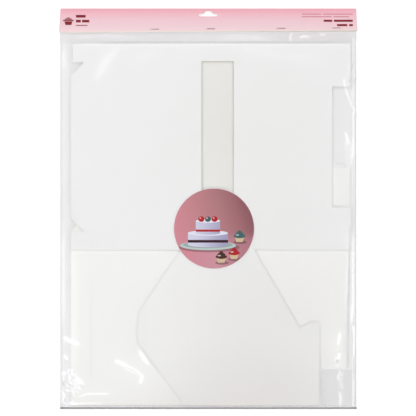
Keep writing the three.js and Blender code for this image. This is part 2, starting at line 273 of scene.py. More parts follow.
class Paint(Tree):
    """A material's node tree while it is made."""

    def __init__(self, name: str) -> None:
        """Starts an empty material.

        Args:
            name: Name of the material.
        """
        self.material = bpy.data.materials.new(name)
        self.material.use_nodes = True
        super().__init__(self.material.node_tree)

    def place(self) -> bpy.types.NodeSocket:
        """Gives the point on the object, in metres."""
        return self.node("ShaderNodeTexCoord").outputs["Object"]

    def axes(self) -> tuple[Signal, Signal, Signal]:
        """Gives X, Y and Z of the point on the object, in millimetres."""
        point = self.node(
            "ShaderNodeVectorMath",
            {"operation": "SCALE"},
            {0: self.place(), "Scale": 1 / MM},
        )
        split = self.node("ShaderNodeSeparateXYZ", inputs={0: point.outputs[0]})
        return tuple(Signal(self, output) for output in split.outputs)

    def upward(self) -> Signal:
        """Gives 1 where a face looks up, 0 where it stands on edge and -1 where it looks down."""
        normal = self.node("ShaderNodeNewGeometry").outputs["Normal"]
        return self.signal("ShaderNodeSeparateXYZ", inputs={0: normal}, output="Z")

    def stored(self, name: str) -> Signal:
        """Gives a value that is stored on the mesh."""
        return self.signal("ShaderNodeAttribute", {"attribute_name": name}, output="Fac")

    def band(self, value: Term, middle: float, half: float) -> Signal:
        """Gives 1 where value is within half of middle, and 0 elsewhere."""
        return self.signal("ShaderNodeMath", {"operation": "COMPARE"}, {0: value, 1: middle, 2: half})

    def noise(self, size: float, detail: float = 2.0, stretch: Sequence[float] = (1, 1, 1)) -> Signal:
        """Gives a noise from 0 to 1 whose blotches are about size millimetres wide.

        Args:
            size: Width of a blotch.
            detail: Octaves of finer noise.
            stretch: How many times finer the noise is along each axis.

        Returns:
            The noise.
        """
        point = self.node(
            "ShaderNodeMapping",
            inputs={"Vector": self.place(), "Scale": tuple(stretch)},
        )
        return self.signal(
            "ShaderNodeTexNoise",
            inputs={"Vector": point.outputs[0], "Scale": 1 / (size * MM), "Detail": detail},
        )

    def blend(self, share: Term, first: Any, second: Any) -> bpy.types.NodeSocket:
        """Mixes two colours by a share of the second."""
        mixed = self.node(
            "ShaderNodeMix",
            {"data_type": "RGBA"},
            {"Factor_Float": share, "A_Color": first, "B_Color": second},
        )
        return self.pick(mixed.outputs, "Result_Color")

    def ramp(self, value: Signal, stops: Stops) -> bpy.types.NodeSocket:
        """Gives a colour along a ramp of stops."""
        made = self.node("ShaderNodeValToRGB", inputs={0: value})
        elements = made.color_ramp.elements
        while len(elements) < len(stops):
            elements.new(1.0)
        for element, (position, colour) in zip(elements, stops):
            element.position = position
            element.color = colour
        return made.outputs[0]

    def bump(self, height: Signal, distance: float, strength: float) -> bpy.types.NodeSocket:
        """Gives a normal from a height, with the distance in millimetres."""
        made = self.node(
            "ShaderNodeBump",
            inputs={"Height": height, "Distance": distance * MM, "Strength": strength},
        )
        return made.outputs[0]

    def glance(self, normal: bpy.types.NodeSocket, glare: float, grazing: float) -> Signal:
        """Gives how much a clear face mirrors.

        Args:
            normal: Normal of the face.
            glare: Share when it is looked at straight on.
            grazing: Share added when it is looked at along the face.

        Returns:
            The share, which rises steeply near the face's outline.
        """
        facing = self.signal(
            "ShaderNodeLayerWeight",
            inputs={"Blend": 0.5, "Normal": normal},
            output="Facing",
        )
        return facing ** GRAZING_POWER * grazing + glare

    def principled(self, **inputs: Any) -> bpy.types.NodeSocket:
        """Adds a Principled shader, whose sockets are named with _ for a space."""
        named = {key.replace("_", " "): value for key, value in inputs.items()}
        return self.node("ShaderNodeBsdfPrincipled", inputs=named).outputs[0]

    def mixed(self, share: Term, first: Any, second: Any) -> bpy.types.NodeSocket:
        """Mixes two shaders by a share of the second."""
        return self.node("ShaderNodeMixShader", inputs={0: share, 1: first, 2: second}).outputs[0]

    def done(self, shader: bpy.types.NodeSocket) -> bpy.types.Material:
        """Ends the tree in a shader and gives the material."""
        self.node("ShaderNodeOutputMaterial", inputs={0: shader})
        return self.material


@dataclass(frozen=True)
class PaintedLightPatch:
    """Broad soft patch of painted shade or painted highlight on the board, in millimetres.

    Attributes:
        middle: Middle of the patch.
        half: Half its width and half its height.
        depth: How far it darkens or lightens at its middle, from 0 to 1.
    """

    middle: Point
    half: Point
    depth: float

    def mask(self, paint: Paint, x: Signal, y: Signal) -> Signal:
        """Masks the patch, fading out to its rim."""
        across = (x - self.middle[0]) / self.half[0]
        up = (y - self.middle[1]) / self.half[1]
        reach = (across * across + up * up) ** 0.5
        return paint.rise(reach, 1.0, 0.0) * self.depth


@dataclass(frozen=True)
class BoardFinish:
    """White carton board: coated outside, warmer inside, fine fibre, painted shade and highlight.

    Attributes:
        name: Name of the material.
        outside: Colour of the coated face.
        inside: Colour of the bare inner face.
        inside_below: Level under which a face that looks up is an inner one.
        core: Colour of a cut edge.
        shade_colour: Colour that the painted shade patches go towards.
        roughness: Roughness of the coated face.
        fibre: Size of the fibre.
        painted_shades: Broad patches of painted shade.
        bright: Colour of the coated face where it catches more light.
        lit: Patch where it does, drawn lighter as a painted highlight.
        lit_below: Height up the pack below which the patch shows.
        cloud: Size of faint broad blotches.
        cloudy: Colour of the blotches.
        fuzzy: Colour of the fibre.
        mottle: How strongly the blotches and the fibre show.
        edge_on: How far a face may look up and still count as a cut edge.
    """

    name: str
    outside: Colour = srgb(243, 243, 243)
    inside: Colour = srgb(248, 248, 246)
    inside_below: float = 2.6
    core: Colour = srgb(226, 222, 210)
    shade_colour: Colour = srgb(209, 199, 190)
    roughness: float = 0.58
    fibre: float = 0.9
    painted_shades: tuple[PaintedLightPatch, ...] = ()
    bright: Colour = srgb(250, 250, 248)
    lit: PaintedLightPatch = PaintedLightPatch((-90, -170), (170, 190), 0.45)
    lit_below: float = -67.2
    cloud: float = 90.0
    cloudy: Colour = srgb(232, 232, 229)
    fuzzy: Colour = srgb(226, 225, 220)
    mottle: float = 0.05
    edge_on: float = 0.5

    def material(self, window: "Window | None" = None) -> bpy.types.Material:
        """Builds the material.

        Args:
            window: Window whose crushed cut edge, with painted shade, shows on the outer face, if there
                is one.

        Returns:
            The material.
        """
        paint = Paint(self.name)
        x, y, z = paint.axes()
        clouds = paint.noise(self.cloud)
        fibre = paint.noise(self.fibre, 3.0, (1, 0.35, 1))
        # Painted highlight: the coated face is drawn lighter where it catches more light.
        lit = self.lit.mask(paint, x, y) * (y < self.lit_below)
        coated = paint.blend(lit, self.outside, self.bright)
        face = paint.blend(z < self.inside_below, coated, self.inside)
        # Painted shade: the board is drawn darker in broad patches where light falls off.
        for shade_patch in self.painted_shades:
            face = paint.blend(shade_patch.mask(paint, x, y), face, self.shade_colour)
        face = paint.blend(paint.rise(clouds, 0.35, 0.75) * self.mottle, face, self.cloudy)
        face = paint.blend(paint.rise(fibre, 0.55, 0.8) * self.mottle, face, self.fuzzy)
        if window is not None:
            # The window's rim: its crushed core, drawn darker as painted shade at the cut.
            face = paint.blend(window.rim(paint, x, y, z), face, window.rim_core_and_shade_colour)
        colour = paint.blend(abs(paint.upward()) < self.edge_on, face, self.core)
        relief = paint.bump(fibre, 0.012, 0.6)
        shader = paint.principled(
            Base_Color=colour,
            Roughness=paint.rise(fibre, 0.2, 0.9) * 0.12 + self.roughness,
            Normal=relief,
        )
        return paint.done(shader)


@dataclass(frozen=True)
class Window:
    """Window cut in the front panel, in millimetres.

    Attributes:
        middle: Middle of the window.
        half: Half its width and half its length.
        rim_width: Width of the line at the cut: board crushed by the punch, with painted shade.
        front_level: Level above which the line shows.
        rim_core_and_shade_colour: Colour of the line, the crushed core drawn darker as painted shade.
        rim_core_and_shade_strength: How strongly it shows.
    """

    middle: Point
    half: Point
    rim_width: float = 1.3
    front_level: float = 3.0
    rim_core_and_shade_colour: Colour = srgb(184, 180, 164)
    rim_core_and_shade_strength: float = 0.85

    def rim(self, paint: Paint, x: Signal, y: Signal, z: Signal) -> Signal:
        """Masks the line around the window, on the front panel's outer face: crushed board with painted
        shade.
        """
        past_x = abs(x - self.middle[0]) - self.half[0]
        past_y = abs(y - self.middle[1]) - self.half[1]
        past = past_x | past_y
        on_face = 1 - (z < self.front_level)
        return paint.rise(past, self.rim_width, 0.0) * on_face * self.rim_core_and_shade_strength


@dataclass(frozen=True)
class PaneFinish:
    """Clear stiff film behind the window, a little warm.

    Attributes:
        tint: Share of light that one face lets through.
        glare: Share that one face mirrors when it is looked at straight on.
        roughness: Roughness of what it mirrors.
        ripple: Size of its ripples.
    """

    tint: Colour = (0.994, 0.993, 0.988, 1.0)
    glare: float = 0.035
    roughness: float = 0.05
    ripple: float = 38.0

    def material(self) -> bpy.types.Material:
        """Builds the material."""
        paint = Paint("pane_film")
        relief = paint.bump(paint.noise(self.ripple, 1.0), 0.25, 0.5)
        clear = paint.node("ShaderNodeBsdfTransparent", inputs={0: self.tint}).outputs[0]
        mirror = paint.principled(
            Base_Color=WHITE,
            Metallic=1.0,
            Roughness=self.roughness,
            Normal=relief,
        )
        share = paint.glance(relief, self.glare, 1 - self.glare)
        return paint.done(paint.mixed(share, clear, mirror))


@dataclass(frozen=True)
class FilmFinish:
    """Clear bag film. It mirrors lamps on its creases; a painted glow whitens it where it stands in for
    glints and light, and painted shade greys it at welds, folds, pockets and edges.

    Attributes:
        name: Name of the material.
        tint: Share of light that one face lets through.
        glare: Share that one face mirrors when it is looked at straight on.
        roughness: Roughness of what it mirrors.
        grazing: Share added where it is looked at along its face.
        glow_strength: Strength of the painted glow where the film is hazed.
        spread: How much rougher it is where it is hazed.
        ripple: Size of its fine ripples.
        white: Colour of the painted glow.
        shade_grey: Colour of the painted shade.
        card_reflection: Colour of the painted shade beside the pink card, tinted with a painted
            reflection of it.
        card_reflection_from: Height up the pack from which the painted reflection of the pink card
            tints it.
        card_reflection_over: Height over which that painted reflection comes in.
    """

    name: str
    tint: Colour
    glare: float = 0.036
    roughness: float = 0.07
    grazing: float = 0.6
    glow_strength: float = 2.3
    spread: float = 0.12
    ripple: float = 9.0
    white: Colour = srgb(246, 248, 254)
    shade_grey: Colour = srgb(150, 148, 152)
    card_reflection: Colour = srgb(168, 138, 146)
    card_reflection_from: float = 272.0
    card_reflection_over: float = 6.0

    def material(self) -> bpy.types.Material:
        """Builds the material."""
        paint = Paint(self.name)
        _, y, _ = paint.axes()
        haze_and_glow = paint.stored(HAZE_AND_GLOW)
        relief = paint.bump(paint.noise(self.ripple, 1.5), 0.05, 0.6)
        clear = paint.node("ShaderNodeBsdfTransparent", inputs={0: self.tint}).outputs[0]
        # The mirror's emission is a painted glow where the film is hazed, standing in for glints and
        # light.
        mirror = paint.principled(
            Base_Color=WHITE,
            Metallic=1.0,
            Roughness=haze_and_glow * self.spread + self.roughness,
            Normal=relief,
            Emission_Color=paint.blend(haze_and_glow, BLACK, self.white),
            Emission_Strength=self.glow_strength,
        )
        film = paint.mixed(paint.glance(relief, self.glare, self.grazing), clear, mirror)
        # Painted shade, tinted beside the card with a painted reflection of the pink card.
        beside_card = paint.rise(y, self.card_reflection_from, self.card_reflection_from + self.card_reflection_over)
        shade_grey = paint.blend(beside_card, self.shade_grey, self.card_reflection)
        dull = paint.principled(Base_Color=shade_grey, Roughness=0.35)
        return paint.done(paint.mixed(paint.stored(SHADE), film, dull))


@dataclass(frozen=True)
class WireFinish:
    """Dull steel of the staples.

    Attributes:
        colour: Colour of the steel.
        scratched: Colour of its scratches.
        roughness: Lowest roughness.
    """

    colour: Colour = srgb(176, 170, 178)
    scratched: Colour = srgb(120, 112, 122)
    roughness: float = 0.34

    def material(self) -> bpy.types.Material:
        """Builds the material."""
        paint = Paint("staple_wire")
        scratches = paint.noise(0.5, 2.0, (0.15, 1, 1))
        share = paint.rise(scratches, 0.4, 0.7) * 0.35
        shader = paint.principled(
            Base_Color=paint.blend(share, self.colour, self.scratched),
            Metallic=1.0,
            Roughness=scratches * 0.2 + self.roughness,
            Normal=paint.bump(scratches, 0.02, 0.5),
        )
        return paint.done(shader)


class Ink(Enum):
    """Inks of the header card and the sticker."""

    DARK_RED = srgb(128, 8, 26)
    ROSE = srgb(196, 104, 122)
    LILAC = srgb(206, 206, 226)
    LILAC_SHADE = srgb(158, 152, 186)
    PLUM = srgb(52, 14, 34)
    RED = srgb(176, 12, 22)
    TEAL = srgb(58, 96, 98)
    PALE_TEAL = srgb(182, 200, 196)
    CREAM = srgb(206, 182, 146)
    BROWN = srgb(74, 34, 26)


@dataclass(frozen=True)
class BarRow:
    """Row of plain bars on the header card, in millimetres.

    Attributes:
        depth: Distance of the row's middle below the fold.
        height: Height of the bars.
        ink: Colour of the bars.
        bars: Left and right end of each bar.
    """

    depth: float
    height: float
    ink: Ink
    bars: tuple[Point, ...]


@dataclass(frozen=True)
class HeaderFinish:
    """Pink printed card, deeper at the fold, with plain bars and a small cupcake.

    Attributes:
        fold: Height of the fold up the pack.
        rows: Rows of bars.
        motif: Middle of the cupcake.
        fades: Pinks from the fold down.
        depth: Distance over which they run.
        motif_size: Size of the cupcake.
        steep: How far a face may look up and still count as a cut edge.
        cut: Colour of a cut edge.
        back: Colour of a face that looks down.
        inner_painted_lighter: Colour of the inner face where the back leaf shows past the front one,
            its cream painted lighter to offset the shade under the front leaf.
        inner_below: Level under which a face that looks up is that inner face.
        hem: Colour of the front leaf's pale lower edge.
        hem_width: Width of the pale edge.
        hem_middle: Height up the pack of the leaf's lower edge at its middle.
        hem_slope: Slope of that edge.
        grain: Colour of the card's faint grain.
    """

    fold: float
    rows: tuple[BarRow, ...]
    motif: Point
    fades: Stops = (
        (0.0, srgb(238, 168, 181)),
        (0.06, srgb(234, 168, 180)),
        (0.20, srgb(237, 181, 192)),
        (0.46, srgb(236, 195, 204)),
        (0.72, srgb(236, 203, 210)),
        (0.9, srgb(238, 208, 213)),
        (1.0, srgb(236, 216, 212)),
    )
    depth: float = 40.0
    motif_size: float = 1.15
    steep: float = 0.3
    cut: Colour = srgb(240, 226, 206)
    back: Colour = srgb(243, 214, 221)
    inner_painted_lighter: Colour = srgb(254, 248, 236)
    inner_below: float = 2.4
    hem: Colour = srgb(236, 225, 210)
    hem_width: float = 1.2
    hem_middle: float = 292.3
    hem_slope: float = 0.0073
    grain: Colour = srgb(250, 236, 238)

    def cupcake(self, paint: Paint, x: Signal, y: Signal) -> Signal:
        """Masks a small plain cupcake: a paper case, three rounds of icing and a berry."""
        across = (x - self.motif[0]) / self.motif_size
        up = (y - self.motif[1]) / self.motif_size
        mask = (abs(across) < up * 0.35 + 6.2) * paint.band(up, -3.4, 2.6)
        for level, high, wide in ((0.6, 0.9, 7.6), (2.5, 0.7, 5.0), (4.1, 0.6, 2.4)):
            mask = mask | paint.band(up, level, high) * paint.band(across, 0.0, wide)
        return mask

    def material(self) -> bpy.types.Material:
        """Builds the material."""
        paint = Paint("pink_card")
        x, y, z = paint.axes()
        below = self.fold - y
        grain = paint.noise(0.7, 3.0)
        colour = paint.ramp(below / self.depth, self.fades)
        for row in self.rows:
            level = paint.band(below, row.depth, row.height / 2)
            for start, end in row.bars:
                bar = paint.band(x, (start + end) / 2, (end - start) / 2)
                colour = paint.blend(bar * level, colour, row.ink.value)
        colour = paint.blend(self.cupcake(paint, x, y), colour, Ink.DARK_RED.value)
        colour = paint.blend(paint.rise(grain, 0.5, 0.8) * 0.06, colour, self.grain)
        facing = paint.upward()
        up = 1 - (facing < self.steep)
        printed = paint.blend(abs(facing) < self.steep, colour, self.cut)
        printed = paint.blend(facing < -self.steep, printed, self.back)
        at_hem = (y - x * self.hem_slope) < (self.hem_middle + self.hem_width)
        printed = paint.blend(up * at_hem, printed, self.hem)
        # The inner face where the back leaf shows: its cream, painted lighter to offset the shade under
        # the front leaf.
        printed = paint.blend(up * (z < self.inner_below), printed, self.inner_painted_lighter)
        shader = paint.principled(
            Base_Color=printed,
            Roughness=grain * 0.12 + 0.4,
            Normal=paint.bump(grain, 0.008, 0.5),
        )
        return paint.done(shader)


@dataclass(frozen=True)
class StickerFinish:
    """Glossy printed label: a plain picture of a cake and cupcakes on a rose ground.

    Attributes:
        middle: Middle of the sticker.
        radius: Its radius.
        edge: Width of the pale line around it.
        rim: Colour of that line.
    """

    middle: Point
    radius: float
    edge: float = 0.7
    rim: Colour = srgb(236, 226, 226)

    def material(self) -> bpy.types.Material:
        """Builds the material."""
        paint = Paint("printed_label")
        x, y, _ = paint.axes()
        across, up = x - self.middle[0], y - self.middle[1]
        colour = self.ground(paint, across, up)
        for mask, ink in self.motifs(paint, across, up):
            colour = paint.blend(mask, colour, ink)
        reach = (across * across + up * up) ** 0.5
        colour = paint.blend(1 - (reach < self.radius - self.edge), colour, self.rim)
        grain = paint.noise(1.4, 2.0)
        shader = paint.principled(
            Base_Color=colour,
            Roughness=grain * 0.08 + 0.3,
            Normal=paint.bump(grain, 0.006, 0.4),
        )
        return paint.done(shader)

    @staticmethod
    def ground(paint: Paint, across: Signal, up: Signal) -> bpy.types.NodeSocket:
        """Paints the rose ground, lighter at the lower left and darker at the right."""
        wall = paint.ramp(
            paint.rise(across + up * 0.35, -70, 85),
            (
                (0.0, srgb(206, 132, 144)),
                (0.3, srgb(188, 124, 130)),
                (0.62, srgb(172, 116, 121)),
                (0.85, srgb(156, 100, 106)),
                (1.0, srgb(132, 80, 88)),
            ),
        )
        table = paint.ramp(
            paint.rise(across, -60, 62),
            (
                (0.0, srgb(206, 132, 146)),
                (0.55, srgb(200, 142, 154)),
                (1.0, srgb(174, 114, 126)),
            ),
        )
        return paint.blend(paint.rise(up, -4, -24), wall, table)

    @staticmethod
    def motifs(paint: Paint, across: Signal, up: Signal) -> Iterable[tuple[Signal, Any]]:
        """Gives the motifs from back to front, as masks with their colours."""
        def oval(u: float, v: float, wide: float, high: float) -> Signal:
            """Masks an oval about a middle."""
            far = ((across - u) / wide) ** 2.0 + ((up - v) / high) ** 2.0
            return far < 1.0

        def slab(u: float, v: float, wide: float, high: float) -> Signal:
            """Masks a rectangle about a middle."""
            return paint.band(across, u, wide) * paint.band(up, v, high)

        def case(u: float, v: float, wide: float, high: float, lean: float) -> Signal:
            """Masks a paper case that is wider at its top."""
            return (abs(across - u) < (up - v) * lean + wide) * paint.band(up, v, high)

        side = paint.rise(across, -40, 26)
        lit = paint.blend(side, Ink.LILAC.value, Ink.LILAC_SHADE.value)
        yield oval(-8, -31, 50, 8) * 0.45, Ink.PLUM.value
        yield oval(-10, -28, 46, 7.5), Ink.PALE_TEAL.value
        yield oval(-10, -26.8, 41, 5.6), srgb(150, 166, 166)
        yield slab(-10, -17, 33, 9.5) | oval(-10, -26.5, 33, 4.4), lit
        yield slab(-10, -21, 33, 2.2), Ink.PLUM.value
        yield oval(-10, -7.5, 33, 4.4), srgb(222, 222, 238)
        yield slab(-10, 2.5, 20, 10) | oval(-10, -7.5, 20, 2.8), lit
        yield slab(-10, -3.5, 20, 1.8), Ink.RED.value
        yield oval(-10, 12.5, 20, 3.0), srgb(226, 226, 240)
        for place, ink in ((-21, Ink.RED), (-10, Ink.TEAL), (1, Ink.RED)):
            yield oval(place, 15.5, 5.0, 4.6), ink.value
            yield oval(place - 1.6, 17.2, 1.5, 1.2), srgb(226, 170, 176)
        for u, v, ink in ((42, -14, Ink.TEAL), (33, -42, Ink.RED), (12, -48, Ink.BROWN)):
            yield oval(u + 1, v - 8.4, 11, 3) * 0.5, Ink.PLUM.value
            yield case(u, v - 3.6, 6.6, 4.6, 0.3), Ink.CREAM.value
            for lift, wide, high in ((1.6, 9.4, 3.6), (5.0, 6.6, 3.2), (8.2, 3.4, 2.6)):
                yield oval(u, v + lift, wide, high), ink.value
            yield oval(u - 3.4, v + 3.4, 2.6, 1.0), Ink.PALE_TEAL.value


@dataclass(frozen=True)
class Crease:
    """One crease of the bag film, which stands up like a small tent. A crease with no rise is only a
    line painted on the film.

    Attributes:
        path: Points along its ridge.
        left: Width of its slope on the left of the path.
        right: Width of its slope on the right of the path.
        rise: Height of its ridge.
        haze_and_glow: How far a painted glow whitens the film at the ridge, standing in for a glint.
        shade: How far painted shade greys the film at the ridge.
        taper: Share of its length over which it rises at each end.
    """

    path: tuple[Point, ...]
    left: float
    right: float
    rise: float
    haze_and_glow: float
    shade: float = 0.0
    taper: float = 0.25

    def profile(self, points: np.ndarray) -> np.ndarray:
        """Gives the crease's height over points, as a share of its rise.

        Args:
            points: Places across and up the pack, one row for each.

        Returns:
            A share from 0 to 1 for each point.
        """
        corners = np.array(self.path, float)
        runs = np.diff(corners, axis=0)
        lengths = np.linalg.norm(runs, axis=1)
        gap = np.full(len(points), np.inf)
        side = np.zeros(len(points))
        along = np.zeros(len(points))
        passed = 0.0
        for start, run, length in zip(corners, runs, lengths):
            offset = points - start
            share = np.clip(offset @ run / length**2, 0, 1)
            away = np.linalg.norm(offset - share[:, None] * run, axis=1)
            nearer = away < gap
            gap[nearer] = away[nearer]
            turn = run[0] * offset[:, 1] - run[1] * offset[:, 0]
            side[nearer] = np.sign(turn[nearer])
            along[nearer] = passed + share[nearer] * length
            passed += length
        width = np.where(side > 0, self.left, self.right)
        tent = np.clip(1 - gap / width, 0, 1)
        place = along / passed
        return tent * ease(np.minimum(place, 1 - place) / self.taper)


@dataclass(frozen=True)
class Crumple:
    """Patch of short random creases.

    Attributes:
        low: Lowest corner of the patch.
        high: Highest corner of the patch.
        count: Number of creases.
        length: Shortest and longest crease.
        rise: Lowest and highest ridge.
        haze_and_glow: Most that a crease is whitened by the painted glow.
        seed: Seed of the draw.
        lean: Way that the creases run, in degrees from +X towards +Y.
        sway: How far they stray from it.
        bend: How far each one turns at its middle, in degrees.
        widths: Narrowest and widest slope.
        shade: How far painted shade greys some of them.
        shaded: Share of them that are.
    """

    low: Point
    high: Point
    count: int
    length: Point
    rise: Point
    haze_and_glow: float
    seed: int
    lean: float = 90.0
    sway: float = 50.0
    bend: float = 35.0
    widths: Point = (1.2, 3.2)
    shade: float = 0.06
    shaded: float = 0.3

    def creases(self) -> list[Crease]:
        """Draws the creases of the patch."""
        draw = np.random.default_rng(self.seed)
        made = []
        for _ in range(self.count):
            start = draw.uniform(self.low, self.high)
            heading = math.radians(self.lean + draw.uniform(-self.sway, self.sway))
            bend = heading + math.radians(draw.uniform(-self.bend, self.bend))
            reach = draw.uniform(*self.length) / 2
            middle = start + reach * np.array([math.cos(heading), math.sin(heading)])
            end = middle + reach * np.array([math.cos(bend), math.sin(bend)])
            path = tuple(tuple(np.clip(point, self.low, self.high)) for point in (start, middle, end))
            left, right = draw.uniform(*self.widths, 2)
            rise = draw.uniform(*self.rise)
            haze_and_glow = self.haze_and_glow * draw.uniform() ** 1.5
            shade = self.shade if draw.uniform() < self.shaded else 0.0
            made.append(Crease(path, left, right, rise, haze_and_glow, shade, taper=0.35))
        return [crease for crease in made if crease.path[0] != crease.path[1] != crease.path[2]]


@dataclass(frozen=True)
class Dim:
    """Rectangle of painted shade and painted glow on the film: shade at the welds, the bottom fold,
    pockets and edges, and glow that lightens shaded strips and stands in for glare.

    Attributes:
        low: Lowest corner.
        high: Highest corner.
        shade: How far painted shade greys it, from 0 to 1.
        haze_and_glow: How far a painted glow whitens it, from 0 to 1.
        soft: Width over which it fades in from each side, across and up.
    """

    low: Point
    high: Point
    shade: float = 0.0
    haze_and_glow: float = 0.0
    soft: Point = (1.0, 1.0)

    def profile(self, points: np.ndarray) -> np.ndarray:
        """Gives 1 inside the rectangle and 0 outside it."""
        held = np.ones(len(points))
        for axis in (0, 1):
            inside = np.minimum(points[:, axis] - self.low[axis], self.high[axis] - points[:, axis])
            held *= ease(inside / self.soft[axis] + 0.5)
        return held


@dataclass
class Bag:
    """Clear bag: a front and a back film, welded at the sides and the bottom, draped over
    what it holds and drawn together at the mouth, between the leaves of the header card.

    Attributes:
        creases: Creases at stated places.
        crumples: Patches of random creases.
        dims: Places of painted shade and painted glow.
        film: Thickness of one film.
        side_weld: Width of a side weld.
        bottom_weld: Width of the bottom weld.
        clearance: Gap between the film and what it lies on.
        drape_clearance: Distance around the carton at which the film starts to go down.
        weld_cavity: Gap between the films at a weld.
        mouth_cavity: Gap between the films at the mouth.
        mouth_base: Level of the back film at the mouth.
        mouth_gap: Distance between the mouth's ramp and the header card.
        sag: Share of the way that the film sinks into a pocket.
        reach: Distance over which the film eases down into a pocket.
        raster: Pitch of the raster on which the drape is worked out.
        sticker_rim: Distance around the sticker that it still holds flat.
        sticker_hold: Distance over which the film comes loose around the sticker.
        mark_gain: How much wider a crease is marked than its ridge is sharp.
        slow_wave: Height of its broad waves.
        quick_wave: Height of its short waves.
        front_tint: Share of light that one face of the front film lets through.
        back_tint_and_shade: Share of light that one face of the back film lets through, set low as
            painted shade on the floor seen through the bag.
    """

    creases: list[Crease]
    crumples: list[Crumple]
    dims: list[Dim]
    film: float = 0.25
    side_weld: float = 3.0
    bottom_weld: float = 1.0
    clearance: float = 0.3
    drape_clearance: float = 1.0
    weld_cavity: float = 0.1
    mouth_cavity: float = 0.4
    mouth_base: float = 1.8
    mouth_gap: float = 2.0
    sag: float = 0.45
    reach: float = 14.0
    raster: float = 3.0
    sticker_rim: float = 2.0
    sticker_hold: float = 22.0
    mark_gain: float = 2.0
    slow_wave: float = 0.28
    quick_wave: float = 0.1
    front_tint: Colour = (0.996, 0.996, 0.996, 1.0)
    # Set low as painted shade on the floor seen through the bag.
    back_tint_and_shade: Colour = (0.913, 0.912, 0.914, 1.0)

    def __post_init__(self) -> None:
        """Reads the places of the bag, the carton and the header card from the frame."""
        self.outer = Extent.of("clear_bag")
        self.carton = Extent.of("carton")
        self.header = Extent.of("header_card")
        self.sticker = Extent.of("round_sticker")

    @staticmethod
    def lines(stretches: Sequence[Point], end: float) -> np.ndarray:
        """Gives grid lines, close where the film is creased.

        Args:
            stretches: Start of each stretch and its pitch.
            end: Last line.

        Returns:
            The places of the lines.
        """
        places = []
        stops = [start for start, _ in stretches[1:]] + [end]
        for (start, pitch), stop in zip(stretches, stops):
            count = max(1, round((stop - start) / pitch))
            places.extend(np.linspace(start, stop, count, endpoint=False))
        return np.array(places + [end])

    @staticmethod
    def crossings(lines_x: np.ndarray, lines_y: np.ndarray) -> np.ndarray:
        """Gives the crossings of the grid lines, row by row."""
        return np.stack(np.meshgrid(lines_x, lines_y), axis=-1).reshape(-1, 2)

    def support(self, nodes: Mapping[str, bpy.types.Object]) -> np.ndarray:
        """Finds how high the things in the bag reach, on an even raster.

        Args:
            nodes: CAD nodes by name.

        Returns:
            Levels in millimetres, one row for each raster line up the pack.
        """
        meshes = [nodes[name].data for name in ("carton", "cupcake_tray", "window_pane")]
        corners: list[Vector] = []
        faces: list[tuple[int, ...]] = []
        for mesh in meshes:
            first = len(corners)
            corners.extend(vertex.co for vertex in mesh.vertices)
            faces.extend(tuple(first + index for index in face.vertices) for face in mesh.polygons)
        tree = BVHTree.FromPolygons(corners, faces)
        self.raster_x = np.arange(self.outer.low.x, self.outer.high.x + self.raster, self.raster)
        self.raster_y = np.arange(self.outer.low.y, self.outer.high.y + self.raster, self.raster)
        levels = np.zeros((len(self.raster_y), len(self.raster_x)))
        above = self.outer.high.z + self.film
        down = Vector((0, 0, -1))
        for row, y in enumerate(self.raster_y):
            for column, x in enumerate(self.raster_x):
                hit = tree.ray_cast(Vector((x, y, above)) * MM, down)[0]
                if hit is not None:
                    levels[row, column] = hit.z / MM
        return levels

    def drape(self, levels: np.ndarray) -> np.ndarray:
        """Lays the film over the levels, and lets it sink part of the way into pockets."""
        steps = round(self.reach / self.raster)
        highest = levels
        for join in (np.max, np.mean):
            for axis in (0, 1):
                moved = [np.roll(highest, shift, axis) for shift in range(-steps, steps + 1)]
                highest = join(moved, axis=0)
        top = self.carton.high.z
        return top + (np.minimum(highest, top) - top) * self.sag

    def sampled(self, levels: np.ndarray, points: np.ndarray) -> np.ndarray:
        """Reads the raster between its lines."""
        last = np.array(levels.shape)[::-1] - LAST_STEP
        place = np.clip((points - (self.raster_x[0], self.raster_y[0])) / self.raster, 0, last)
        column, row = place.astype(int).T
        share_x, share_y = (place % 1).T
        lower = levels[row, column] * (1 - share_x) + levels[row, column + 1] * share_x
        row = row + 1
        upper = levels[row, column] * (1 - share_x) + levels[row, column + 1] * share_x
        return lower * (1 - share_y) + upper * share_y

    def mouth_share(self, y: np.ndarray) -> np.ndarray:
        """Gives 0 over the carton and 1 between the leaves of the header card."""
        start = self.carton.high.y + self.drape_clearance
        end = self.header.low.y - self.mouth_gap
        return ease((y - start) / (end - start))

    def edges(self, points: np.ndarray) -> np.ndarray:
        """Gives 0 at the welds and 1 where the film has risen onto the carton."""
        x, y = points[:, 0], points[:, 1]
        weld_left = self.outer.low.x + self.side_weld
        weld_right = self.outer.high.x - self.side_weld
        weld_bottom = self.outer.low.y + self.bottom_weld
        left = taut((x - weld_left) / (self.carton.low.x - self.drape_clearance - weld_left))
        right = taut((weld_right - x) / (weld_right - self.drape_clearance - self.carton.high.x))
        bottom = taut((y - weld_bottom) / (self.carton.low.y - self.drape_clearance - weld_bottom))
        return left * right * bottom

    def waves(self, points: np.ndarray) -> np.ndarray:
        """Gives the waves of a film that lies loose, from 0 up, over lengths in millimetres."""
        x, y = points[:, 0], points[:, 1]
        slow = np.sin(x / 41 + 1.3 * np.sin(y / 67)) * np.sin(y / 53 + 0.8)
        quick = np.sin(x / 17 + y / 29) * np.sin(y / 23 - x / 37)
        return self.slow_wave * (1 + slow) / 2 + self.quick_wave * (1 + quick) / 2

    def clear_of_sticker(self, points: np.ndarray) -> np.ndarray:
        """Gives 0 under the sticker, which holds the film flat, and 1 away from it."""
        middle = np.array(self.sticker.middle)[:2]
        radius = (self.sticker.high.x - self.sticker.low.x) / 2
        away = np.linalg.norm(points - middle, axis=1)
        return ease((away - radius - self.sticker_rim) / self.sticker_hold)

    def every_crease(self) -> list[Crease]:
        """Gives the placed creases and those of every crumple."""
        drawn = [crease for patch in self.crumples for crease in patch.creases()]
        return [*self.creases, *drawn]

